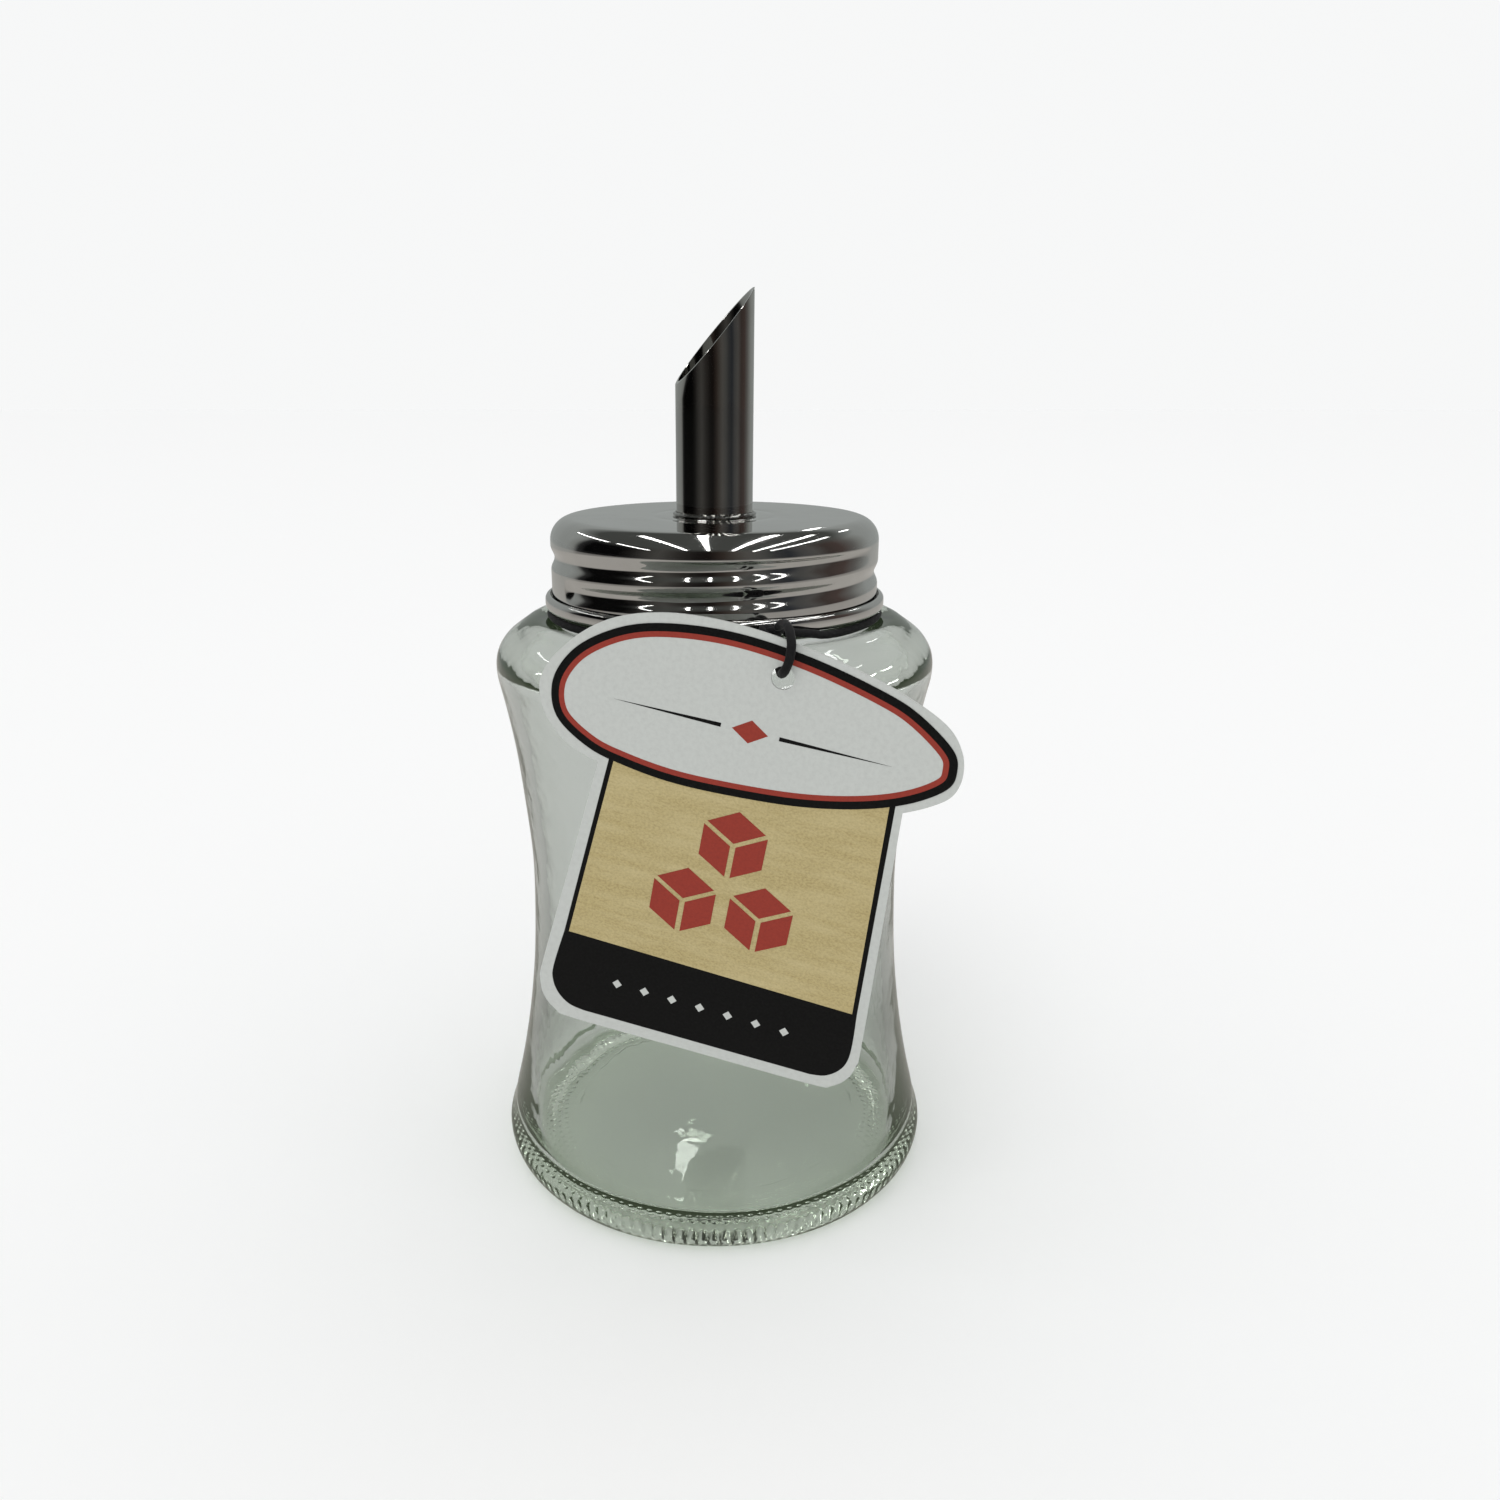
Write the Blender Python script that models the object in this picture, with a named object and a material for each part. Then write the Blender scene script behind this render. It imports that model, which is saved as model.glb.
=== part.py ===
"""Sugar dispenser: a waisted glass jar, a screw lid with a pour tube, a hang tag.

Metres, +Z up. The jar stands on z = 0 with its axis on the Z axis, and the side
that faces the viewer is -Y. Every physical piece is one object of its own.
"""
import math

import bmesh
import bpy
from mathutils import Vector

for old in list(bpy.data.objects):
    bpy.data.objects.remove(old, do_unlink=True)

# Segments round the axis of the big and of the small turned pieces.
BIG_SEGMENTS = 48
SMALL_SEGMENTS = 32

# Clearances: between pieces at rest, in a tight fit, and between the threads.
CLEARANCE = 0.0003
FIT = 0.00015
SEAL_GAP = 0.00025
THREAD_CLEARANCE = 0.00025

# Glass jar.
BASE_RADIUS = 0.0385
BASE_BULGE_HEIGHT = 0.0045
WAIST_RADIUS = 0.0321
WAIST_HEIGHT = 0.050
SHOULDER_RADIUS = 0.0365
SHOULDER_HEIGHT = 0.0895
NECK_CREST_RADIUS = 0.0298
NECK_RADIUS = 0.02525
NECK_WALL = 0.00275
RIM_HEIGHT = 0.1125
RIM_ROUND = 0.00045
JAR_WALL = 0.0027
FLOOR_THICKNESS = 0.0046
BEARING_RADIUS = 0.0335
BEARING_WIDTH = 0.0021
PUNT_DEPTH = 0.0018

# Thread, one right-hand start, as the half width of its ridge on both pieces.
PITCH = 0.00423
RIDGE_HALF = 0.00085
GLASS_THREAD_DEPTH = 0.00095
THREAD_OVERLAP = 0.0004
THREAD_STAGGER = 0.0012
THREAD_RELIEF = 0.0005
THREAD_FADE = 30.0
THREAD_LAPS_END = 336.0

# Screw lid, pressed from sheet.
LID_WALL = 0.00045
LID_CORNER = 0.0036
LID_HEIGHT = 0.0147
HEM_REACH = 0.00115
HEM_HEIGHT = 0.0024

# Sealing ring.
GASKET_THICKNESS = 0.00085
GASKET_OVERHANG = 0.0009

# Pour tube: a slanted mouth above the lid and a slanted foot over the floor.
TUBE_RADIUS = 0.00625
TUBE_WALL = 0.0005
TUBE_RISE = 0.0277
MOUTH_SLOPE = 1.17
MOUTH_TURN = 10.0
FOOT_CLEARANCE = 0.0174
FOOT_SLOPE = -0.45

# Bead on the lid round the tube, and the ferrule that grips the tube below it.
BEAD_WIDTH = 0.0005
BEAD_HEIGHT = 0.00045
FERRULE_RADIUS = 0.0105
FERRULE_PLATE = 0.0006
FERRULE_SLEEVE = 0.00065
FERRULE_LENGTH = 0.0056

# Elastic cord with its knot. Azimuths run from the front towards the right.
CORD_RADIUS = 0.00065
CORD_GAP = 0.0002
KNOT_HALF_WIDTH = 0.0021
KNOT_HALF_DEPTH = 0.00145
KNOT_HALF_HEIGHT = 0.00135
KNOT_AZIMUTH = 15.5
KNOT_STAND_OFF = 0.0009
KNOT_RISE = 0.0011
KNOT_RINGS = 8

# Hang tag: a flat card with an oval head over a panel, and a punched hole.
TAG_WIDTH = 0.0605
TAG_HEIGHT = 0.0672
TAG_THICKNESS = 0.00045
TAG_AZIMUTH = -13.4
TAG_ROLL = 10.3
TAG_SIDE = 0.01842
TAG_DROP = 0.0028
TAG_HOLE_RADIUS = 0.00165
TAG_HOLE_STEPS = 20

# Places on the jar, the lid and the tube that follow from the sizes above.
THREAD_WALL = NECK_RADIUS + GLASS_THREAD_DEPTH + THREAD_CLEARANCE
LID_RADIUS = THREAD_WALL + LID_WALL
LID_THREAD_DEPTH = THREAD_CLEARANCE + THREAD_OVERLAP
LID_UNDER = RIM_HEIGHT + 2.0 * SEAL_GAP + GASKET_THICKNESS
LID_TOP = LID_UNDER + LID_WALL
HEM_BOTTOM = LID_TOP - LID_HEIGHT
HEM_RADIUS = LID_RADIUS + HEM_REACH
LID_THREAD_LOW = HEM_BOTTOM + HEM_HEIGHT + CLEARANCE
LID_THREAD_HEIGHT = LID_THREAD_LOW + THREAD_RELIEF + RIDGE_HALF + PITCH / 2.0
GLASS_THREAD_HEIGHT = LID_THREAD_HEIGHT + THREAD_STAGGER
GLASS_THREAD_LOW = GLASS_THREAD_HEIGHT - PITCH / 2.0 - RIDGE_HALF - THREAD_RELIEF
CORD_HEIGHT = HEM_BOTTOM - CORD_GAP - CORD_RADIUS
SEAT_HEIGHT = CORD_HEIGHT - CORD_RADIUS - CLEARANCE
NECK_BORE = NECK_RADIUS - NECK_WALL
TUBE_HOLE = TUBE_RADIUS + FIT

# Runs of points, as shares of the way from one named place to the next.
FOOT_SHARES = ((0.41, 0.11), (0.62, 0.22), (0.91, 0.56), (1.0, 1.0))
LOWER_SHARES = (
    (0.125, 0.055), (0.227, 0.121), (0.375, 0.209), (0.5625, 0.341), (0.758, 0.516),
    (0.922, 0.736), (1.0, 1.0),
)
UPPER_SHARES = (
    (0.023, 0.2025), (0.227, 0.456), (0.432, 0.658), (0.659, 0.81), (0.841, 0.911),
    (1.0, 1.0),
)
SHOULDER_SHARES = (
    (0.037, 0.347), (0.261, 0.636), (0.649, 0.867), (0.82, 0.954), (1.0, 1.0),
)
# From the crest of the shoulder over the seat of the cord to the neck.
SEAT_SHARES = ((0.22, 0.0), (0.4, 0.57), (0.57, 1.0))
NECK_SHARES = ((0.4, 0.11), (0.76, 0.44), (1.0, 1.0))
PUNT_SHARES = ((0.86, 0.67), (0.94, 0.23))
RIM_SHARES = ((0.06, 0.67), (0.19, 1.0), (0.78, 1.0), (0.94, 0.6), (1.0, 0.0))
BORE_SHARES = ((0.0, 0.0), (0.08, 0.12), (0.38, 0.34), (0.71, 0.61), (0.94, 0.87), (1.0, 1.0))
FLOOR_SHARES = ((0.985, 0.50), (0.95, 0.22), (0.87, 0.06))
RIDGE_SHARES = ((-1.0, 0.0), (-0.59, 0.7), (-0.24, 1.0), (0.24, 1.0), (0.59, 0.7), (1.0, 0.0))
TUBE_SHARES = (0.15, 0.32, 0.49, 0.66, 0.83, 0.93)
BEAD_SHARES = ((0.0, 0.0), (0.8, 0.0), (1.0, 0.3), (0.8, 0.7), (0.3, 1.0), (0.0, 0.8))

# The cord leaves its seat towards the knot: azimuth from the knot, then the
# shares of the way outwards and upwards.
RIGHT_BOW_SHARES = (
    (8.5, 0.81, 0.77), (13.5, 0.59, 0.54), (19.5, 0.34, 0.205), (27.5, 0.09, 0.03),
    (36.5, 0.0, 0.0),
)
LEFT_BOW_SHARES = (
    (33.5, 0.0, 0.0), (25.5, 0.15, 0.07), (17.5, 0.42, 0.33), (10.5, 0.69, 0.64),
)
BOW_END_SHARE = 0.94
NECK_LOOP_STEP = 12.0
# Cord from the knot over the edge of the tag, down in front, through the hole
# and up behind. Its points stay as they are.
TAG_LOOP = (
    (0.0090, -0.0315, 0.1020), (0.0095, -0.0340, 0.1030), (0.0098, -0.0375, 0.1035),
    (0.01005, -0.0404, 0.1033), (0.01025, -0.04195, 0.1019), (0.0101, -0.0422, 0.1003),
    (0.0098, -0.0421, 0.0990), (0.0094, -0.0417, 0.0980), (0.0091, -0.0403, 0.09735),
    (0.0089, -0.0390, 0.0977), (0.0087, -0.0376, 0.0986), (0.0083, -0.0350, 0.0998),
    (0.0079, -0.0323, 0.1003),
)
CORD_STEPS = 2

# Outline of the tag from the middle of its hole, as shares of width and height.
# The head is a smooth run from the left notch to the right one.
HEAD_SHARES = (
    (-0.395, -0.275), (-0.466, -0.256), (-0.529, -0.213), (-0.562, -0.156),
    (-0.562, -0.110), (-0.536, -0.062), (-0.473, 0.003), (-0.393, 0.049),
    (-0.288, 0.077), (-0.174, 0.087), (-0.060, 0.083), (0.051, 0.070), (0.159, 0.051),
    (0.269, 0.024), (0.375, -0.018), (0.423, -0.065), (0.438, -0.116), (0.425, -0.161),
    (0.380, -0.195), (0.329, -0.220),
)
# The panel, from the right notch round both lower corners.
PANEL_SHARES = (
    (0.349, -0.490), (0.370, -0.781), (0.369, -0.824), (0.355, -0.863),
    (0.321, -0.893), (0.269, -0.903), (-0.050, -0.908), (-0.357, -0.912),
    (-0.407, -0.903), (-0.443, -0.875), (-0.460, -0.835), (-0.460, -0.787),
    (-0.427, -0.531),
)


def material(name, colour, metallic, roughness, transmission):
    """Give back one Principled material."""
    made = bpy.data.materials.new(name)
    made.use_nodes = True
    shader = made.node_tree.nodes["Principled BSDF"]
    shader.inputs["Base Color"].default_value = (*colour, 1.0)
    shader.inputs["Metallic"].default_value = metallic
    shader.inputs["Roughness"].default_value = roughness
    shader.inputs["Transmission Weight"].default_value = transmission
    return made


def place(name, verts, faces, look, origin=(0.0, 0.0, 0.0)):
    """Make a closed object from world points, with its origin at a given one."""
    mesh = bpy.data.meshes.new(name)
    start = Vector(origin)
    mesh.from_pydata([Vector(v) - start for v in verts], [], faces)
    solid = bmesh.new()
    solid.from_mesh(mesh)
    bmesh.ops.recalc_face_normals(solid, faces=solid.faces[:])
    if solid.calc_volume(signed=True) < 0.0:
        bmesh.ops.reverse_faces(solid, faces=solid.faces[:])
    bmesh.ops.triangulate(solid, faces=solid.faces[:])
    solid.to_mesh(mesh)
    solid.free()
    mesh.materials.append(look)
    mesh.shade_smooth()
    made = bpy.data.objects.new(name, mesh)
    made.location = start
    bpy.context.scene.collection.objects.link(made)
    return made


def run(start, end, shares):
    """Points on the way between two (radius, height) places."""
    return [
        (start[0] + (end[0] - start[0]) * across, start[1] + (end[1] - start[1]) * up)
        for across, up in shares
    ]


class Turned:
    """Collects rings of points round the Z axis and the faces between them."""

    def __init__(self, segments):
        self.segments = segments
        self.verts = []
        self.faces = []

    def angle(self, column):
        return -180.0 + 360.0 * column / self.segments

    def point(self, column, radius, height):
        turn = math.radians(self.angle(column))
        self.verts.append((radius * math.cos(turn), radius * math.sin(turn), height))
        return len(self.verts) - 1

    def ring(self, radius, height, slope=0.0, turn=0.0):
        """Add a ring; a slope tilts it towards the direction given by turn."""
        made = []
        for column in range(self.segments):
            lean = math.cos(math.radians(self.angle(column) - turn))
            made.append(self.point(column, radius, height + slope * radius * lean))
        return made

    def rings(self, places):
        return [self.ring(radius, height) for radius, height in places]

    def join(self, low, high):
        for column in range(self.segments):
            after = (column + 1) % self.segments
            self.faces.append((low[column], low[after], high[after], high[column]))

    def chain(self, rings):
        for low, high in zip(rings, rings[1:]):
            self.join(low, high)

    def cap(self, ring, height):
        self.verts.append((0.0, 0.0, height))
        tip = len(self.verts) - 1
        for column in range(self.segments):
            self.faces.append((ring[column], ring[(column + 1) % self.segments], tip))

    def thread(self, low, high, radius, height, top, depth):
        """Join two rings by a wall that carries a helical ridge under a top."""
        room = top - RIDGE_HALF - height
        end = min(THREAD_LAPS_END, 360.0 * room / PITCH)
        laps = []
        for lap in (0, 1):
            rows = []
            for column in range(self.segments):
                along = self.angle(column) + 360.0 * lap
                middle = height + PITCH * min(along, end) / 360.0
                swell = min(1.0, (along + 180.0) / THREAD_FADE, (end - along) / THREAD_FADE)
                swell = depth * max(0.0, swell)
                rows.append([
                    self.point(column, radius + swell * out, middle + RIDGE_HALF * up)
                    for up, out in RIDGE_SHARES
                ])
            laps.append(rows)
        first, second = laps
        for column in range(self.segments - 1):
            left = [low[column], *first[column], *second[column], high[column]]
            after = column + 1
            right = [low[after], *first[after], *second[after], high[after]]
            for a, b, c, d in zip(left, right, right[1:], left[1:]):
                self.faces.append((a, b, c, d))
        # At the seam the first lap runs on into the second one.
        lower, upper = first[-1], second[-1]
        above = second[0]
        for a, b, c, d in zip(lower, above, above[1:], lower[1:]):
            self.faces.append((a, b, c, d))
        self.faces.append((low[-1], low[0], *first[0], above[0], lower[0]))
        self.faces.append((lower[-1], above[-1], high[0], high[-1], *upper[::-1]))


def turned_solid(name, profile, look, segments):
    """Turn a closed profile of (radius, height) into a ring-shaped solid."""
    work = Turned(segments)
    rings = work.rings(profile)
    work.chain(rings + rings[:1])
    return place(name, work.verts, work.faces, look)


def make_jar(look):
    work = Turned(BIG_SEGMENTS)
    bearing = (BEARING_RADIUS + BEARING_WIDTH, 0.0)
    bulge = (BASE_RADIUS, BASE_BULGE_HEIGHT)
    waist = (WAIST_RADIUS, WAIST_HEIGHT)
    shoulder = (SHOULDER_RADIUS, SHOULDER_HEIGHT)
    crest = (NECK_CREST_RADIUS, SEAT_HEIGHT + CLEARANCE)
    seat = (NECK_RADIUS, SEAT_HEIGHT)
    neck = (NECK_RADIUS, HEM_BOTTOM)
    punt = run((0.0, 0.0), (BEARING_RADIUS, PUNT_DEPTH), PUNT_SHARES)
    outline = punt + [(BEARING_RADIUS, 0.0), bearing]
    outline += run(bearing, bulge, FOOT_SHARES) + run(bulge, waist, LOWER_SHARES)
    outline += run(waist, shoulder, UPPER_SHARES) + run(shoulder, crest, SHOULDER_SHARES)
    dip = run(crest, seat, SEAT_SHARES)
    outline += dip + run(dip[-1], neck, NECK_SHARES)
    outline.append((NECK_RADIUS, GLASS_THREAD_LOW))
    outside = work.rings(outline)
    work.cap(outside[0], PUNT_DEPTH)
    work.chain(outside)

    rim_low = RIM_HEIGHT - RIM_ROUND
    rim = [(NECK_RADIUS, rim_low)]
    rim += run(rim[0], (NECK_BORE, RIM_HEIGHT), RIM_SHARES[:-1])
    rim.append((NECK_BORE, rim_low - RIM_ROUND))
    bore = (NECK_BORE, HEM_BOTTOM)
    inner_shoulder = (SHOULDER_RADIUS - JAR_WALL, SHOULDER_HEIGHT)
    inner_waist = (WAIST_RADIUS - JAR_WALL, WAIST_HEIGHT)
    heel = (BASE_RADIUS - 2.0 * JAR_WALL, FLOOR_THICKNESS + BASE_BULGE_HEIGHT)
    inner = run(bore, inner_shoulder, BORE_SHARES)
    inner += run(inner_shoulder, inner_waist, [
        (1.0 - across, 1.0 - up) for across, up in UPPER_SHARES[-2::-1]
    ])
    inner.append(inner_waist)
    inner += run(inner_waist, heel, [
        (1.0 - across, 1.0 - up) for across, up in LOWER_SHARES[-2:1:-1]
    ])
    inner += run((0.0, FLOOR_THICKNESS), heel, FLOOR_SHARES)
    inside = work.rings(rim + inner)
    work.thread(
        outside[-1], inside[0], NECK_RADIUS, GLASS_THREAD_HEIGHT,
        rim_low - SEAL_GAP / 2.0, GLASS_THREAD_DEPTH,
    )
    work.chain(inside)
    work.cap(inside[-1], FLOOR_THICKNESS)
    return place("glass_jar", work.verts, work.faces, look)


def arc(middle, radius, first, last, steps):
    """Points of an arc; angles run from outwards towards upwards."""
    points = []
    for step in range(steps + 1):
        turn = math.radians(first + (last - first) * step / steps)
        points.append((
            middle[0] + radius * math.cos(turn), middle[1] + radius * math.sin(turn),
        ))
    return points


def make_lid(look):
    work = Turned(BIG_SEGMENTS)
    turn_middle = (LID_RADIUS - LID_CORNER, LID_TOP - LID_CORNER)
    top = work.ring(TUBE_HOLE, LID_TOP)
    outer_top = work.rings(arc(turn_middle, LID_CORNER, 90.0, 0.0, 5))
    work.chain([top] + outer_top)
    outer_low = work.ring(LID_RADIUS, LID_THREAD_LOW)
    thread_top = LID_TOP - LID_CORNER - THREAD_RELIEF / 4.0
    work.thread(
        outer_low, outer_top[-1], LID_RADIUS, LID_THREAD_HEIGHT, thread_top,
        -LID_THREAD_DEPTH,
    )
    # The hem: the sheet turns outwards and up, and its free edge turns back in.
    curl = (HEM_RADIUS - THREAD_WALL) / 2.0
    low_middle = (THREAD_WALL + curl, HEM_BOTTOM + curl)
    high_middle = (THREAD_WALL + curl, HEM_BOTTOM + HEM_HEIGHT - curl)
    hem = arc(low_middle, curl - LID_WALL, -180.0, 0.0, 4)
    hem += arc(high_middle, curl - LID_WALL, 0.0, 90.0, 2)
    hem += arc(high_middle, curl, 90.0, 0.0, 2)
    hem += arc(low_middle, curl, 0.0, -180.0, 4)
    inner_low = work.ring(THREAD_WALL, LID_THREAD_LOW)
    work.chain([outer_low] + work.rings(hem) + [inner_low])
    inner_top = work.rings(arc(turn_middle, LID_CORNER - LID_WALL, 90.0, 0.0, 5))
    work.thread(
        inner_low, inner_top[-1], THREAD_WALL, LID_THREAD_HEIGHT, thread_top,
        -LID_THREAD_DEPTH,
    )
    work.chain(inner_top[::-1] + [work.ring(TUBE_HOLE, LID_UNDER), top])
    return place("screw_lid", work.verts, work.faces, look)


def make_gasket(look):
    low = RIM_HEIGHT + SEAL_GAP
    high = low + GASKET_THICKNESS
    inner = NECK_BORE - GASKET_OVERHANG
    outer = NECK_RADIUS - CLEARANCE
    # Its upper edge keeps clear of the rounded corner of the lid.
    reach = LID_CORNER - LID_WALL
    climb = high - LID_TOP + LID_CORNER
    corner = math.sqrt(max(0.0, reach ** 2 - climb ** 2))
    upper = min(outer, LID_RADIUS - LID_CORNER + corner - CLEARANCE)
    middle = low + GASKET_THICKNESS * 0.4
    profile = ((inner, low), (outer, low), (outer, middle), (upper, high), (inner, high))
    return turned_solid("lid_gasket", profile, look, BIG_SEGMENTS)


def make_tube(look):
    work = Turned(SMALL_SEGMENTS)
    foot = FLOOR_THICKNESS + FOOT_CLEARANCE
    mouth = LID_TOP + TUBE_RISE
    walls = []
    for radius in (TUBE_RADIUS, TUBE_RADIUS - TUBE_WALL):
        rows = [work.ring(radius, foot, FOOT_SLOPE, MOUTH_TURN)]
        rows += [work.ring(radius, foot + (mouth - foot) * share) for share in TUBE_SHARES]
        rows.append(work.ring(radius, mouth, MOUTH_SLOPE, MOUTH_TURN))
        walls.append(rows)
    outer, inner = walls
    work.chain(outer + inner[::-1] + outer[:1])
    return place("pour_tube", work.verts, work.faces, look)


def make_bead(look):
    start = (TUBE_HOLE, LID_TOP + FIT)
    end = (start[0] + BEAD_WIDTH, start[1] + BEAD_HEIGHT)
    return turned_solid("tube_bead", run(start, end, BEAD_SHARES), look, SMALL_SEGMENTS)


def make_ferrule(look):
    top = LID_UNDER - SEAL_GAP
    plate = top - FERRULE_PLATE
    sleeve = TUBE_HOLE + FERRULE_SLEEVE
    profile = (
        (TUBE_HOLE, top - FERRULE_LENGTH), (sleeve, top - FERRULE_LENGTH),
        (sleeve, plate - FERRULE_PLATE), (sleeve + FERRULE_PLATE, plate),
        (FERRULE_RADIUS, plate), (FERRULE_RADIUS, top), (TUBE_HOLE, top),
    )
    return turned_solid("tube_ferrule", profile, look, SMALL_SEGMENTS)


def smooth_path(points, steps):
    """Put extra points between the given ones, on a Catmull-Rom curve."""
    corners = [Vector(p) for p in points]
    path = []
    for index in range(len(corners) - 1):
        before = corners[max(index - 1, 0)]
        here = corners[index]
        there = corners[index + 1]
        after = corners[min(index + 2, len(corners) - 1)]
        for step in range(steps):
            t = step / steps
            path.append(0.5 * (
                2.0 * here + (there - before) * t
                + (2.0 * before - 5.0 * here + 4.0 * there - after) * t ** 2
                + (3.0 * here - before - 3.0 * there + after) * t ** 3
            ))
    path.append(corners[-1])
    return path


def make_cord(name, points, look, origin):
    """Lay a round cord along an open path."""
    path = smooth_path(points, CORD_STEPS)
    curve = bpy.data.curves.new(name, "CURVE")
    curve.dimensions = "3D"
    curve.bevel_depth = CORD_RADIUS
    curve.bevel_resolution = 2
    curve.use_fill_caps = True
    spline = curve.splines.new("POLY")
    spline.points.add(len(path) - 1)
    start = Vector(origin)
    for spot, middle in zip(spline.points, path):
        spot.co = (*(middle - start), 1.0)
    curve.materials.append(look)
    made = bpy.data.objects.new(name, curve)
    made.location = start
    bpy.context.scene.collection.objects.link(made)
    return made


def round_axis(azimuth, radius, height):
    """Give the point at an azimuth counted from the front towards the right."""
    turn = math.radians(azimuth)
    return Vector((radius * math.sin(turn), -radius * math.cos(turn), height))


KNOT_RADIUS = HEM_RADIUS + KNOT_HALF_DEPTH + KNOT_STAND_OFF
KNOT_HEIGHT = HEM_BOTTOM + KNOT_RISE


def make_neck_loop(look):
    crest_to_neck = NECK_RADIUS - NECK_CREST_RADIUS
    seat_radius = NECK_CREST_RADIUS + crest_to_neck * SEAT_SHARES[-1][0]

    def bow(offset, out, up):
        radius = seat_radius + (KNOT_RADIUS - seat_radius) * out
        height = CORD_HEIGHT + (KNOT_HEIGHT - CORD_HEIGHT) * up
        return round_axis(KNOT_AZIMUTH + offset, radius, height)

    end = math.degrees((KNOT_HALF_WIDTH + CORD_GAP) / KNOT_RADIUS)
    points = [bow(end, BOW_END_SHARE, BOW_END_SHARE)]
    points += [bow(*spot) for spot in RIGHT_BOW_SHARES]
    first = RIGHT_BOW_SHARES[-1][0]
    last = 360.0 - LEFT_BOW_SHARES[0][0]
    count = round((last - first) / NECK_LOOP_STEP)
    for step in range(1, count):
        points.append(bow(first + (last - first) * step / count, 0.0, 0.0))
    points += [bow(-offset, out, up) for offset, out, up in LEFT_BOW_SHARES]
    points.append(bow(-end, BOW_END_SHARE, BOW_END_SHARE))
    return make_cord("neck_loop", points, look, (0.0, 0.0, CORD_HEIGHT))


def make_knot(look):
    middle = round_axis(KNOT_AZIMUTH, KNOT_RADIUS, KNOT_HEIGHT)
    outward = round_axis(KNOT_AZIMUTH, 1.0, 0.0)
    along = Vector((-outward.y, outward.x, 0.0))
    upright = Vector((0.0, 0.0, 1.0))
    count = KNOT_RINGS * 2
    verts = []
    faces = []
    for ring in range(1, KNOT_RINGS):
        polar = math.pi * ring / KNOT_RINGS
        for step in range(count):
            turn = math.pi * step / KNOT_RINGS
            verts.append(
                middle + along * (KNOT_HALF_WIDTH * math.cos(polar))
                + outward * (KNOT_HALF_DEPTH * math.sin(polar) * math.cos(turn))
                + upright * (KNOT_HALF_HEIGHT * math.sin(polar) * math.sin(turn))
            )
    for ring in range(KNOT_RINGS - 2):
        for step in range(count):
            after = (step + 1) % count
            low = ring * count
            high = low + count
            faces.append((low + step, low + after, high + after, high + step))
    faces.append(tuple(range(count)))
    faces.append(tuple(range((KNOT_RINGS - 2) * count, (KNOT_RINGS - 1) * count)))
    return place("cord_knot", verts, faces, look, middle)


def make_tag(look):
    facing = math.radians(TAG_AZIMUTH)
    roll = math.radians(TAG_ROLL)
    outward = Vector((math.sin(facing), -math.cos(facing), 0.0))
    level = Vector((math.cos(facing), math.sin(facing), 0.0))
    upright = Vector((0.0, 0.0, 1.0))
    across = level * math.cos(roll) - upright * math.sin(roll)
    upward = upright * math.cos(roll) + level * math.sin(roll)
    hole = outward * (SHOULDER_RADIUS + CLEARANCE + TAG_THICKNESS)
    hole += level * TAG_SIDE + upright * (HEM_BOTTOM - TAG_DROP)

    def spot(x, y):
        return hole + across * x + upward * y

    head = smooth_path([spot(TAG_WIDTH * x, TAG_HEIGHT * y) for x, y in HEAD_SHARES], 2)
    rim = head + [spot(TAG_WIDTH * x, TAG_HEIGHT * y) for x, y in PANEL_SHARES]
    eye = []
    for step in range(TAG_HOLE_STEPS):
        turn = 2.0 * math.pi * step / TAG_HOLE_STEPS
        eye.append(spot(TAG_HOLE_RADIUS * math.cos(turn), TAG_HOLE_RADIUS * math.sin(turn)))
    flat = bmesh.new()
    for loop in (rim, eye):
        corners = [flat.verts.new(point) for point in loop]
        for here, there in zip(corners, corners[1:] + corners[:1]):
            flat.edges.new((here, there))
    bmesh.ops.triangle_fill(flat, use_beauty=True, edges=flat.edges[:])
    grown = bmesh.ops.extrude_face_region(flat, geom=flat.faces[:])
    back = [item for item in grown["geom"] if isinstance(item, bmesh.types.BMVert)]
    bmesh.ops.translate(flat, vec=-outward * TAG_THICKNESS, verts=back)
    flat.verts.index_update()
    verts = [vert.co.copy() for vert in flat.verts]
    faces = [tuple(vert.index for vert in face.verts) for face in flat.faces]
    flat.free()
    made = place("hang_tag", verts, faces, look, hole - outward * (TAG_THICKNESS / 2.0))
    made.data.shade_flat()
    return made


glass = material("soda_glass", (0.93, 0.96, 0.94), 0.0, 0.03, 1.0)
lid_steel = material("lid_steel", (0.62, 0.61, 0.58), 1.0, 0.16, 0.0)
tube_steel = material("tube_steel", (0.56, 0.55, 0.52), 1.0, 0.2, 0.0)
bead_steel = material("bead_steel", (0.7, 0.69, 0.67), 1.0, 0.25, 0.0)
ferrule_steel = material("ferrule_steel", (0.5, 0.5, 0.49), 1.0, 0.3, 0.0)
gasket_rubber = material("gasket_rubber", (0.86, 0.86, 0.84), 0.0, 0.6, 0.0)
tag_board = material("tag_board", (0.82, 0.82, 0.8), 0.0, 0.55, 0.0)
neck_elastic = material("neck_elastic", (0.012, 0.012, 0.012), 0.0, 0.75, 0.0)
tag_elastic = material("tag_elastic", (0.013, 0.013, 0.013), 0.0, 0.75, 0.0)
knot_elastic = material("knot_elastic", (0.014, 0.014, 0.014), 0.0, 0.75, 0.0)

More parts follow.
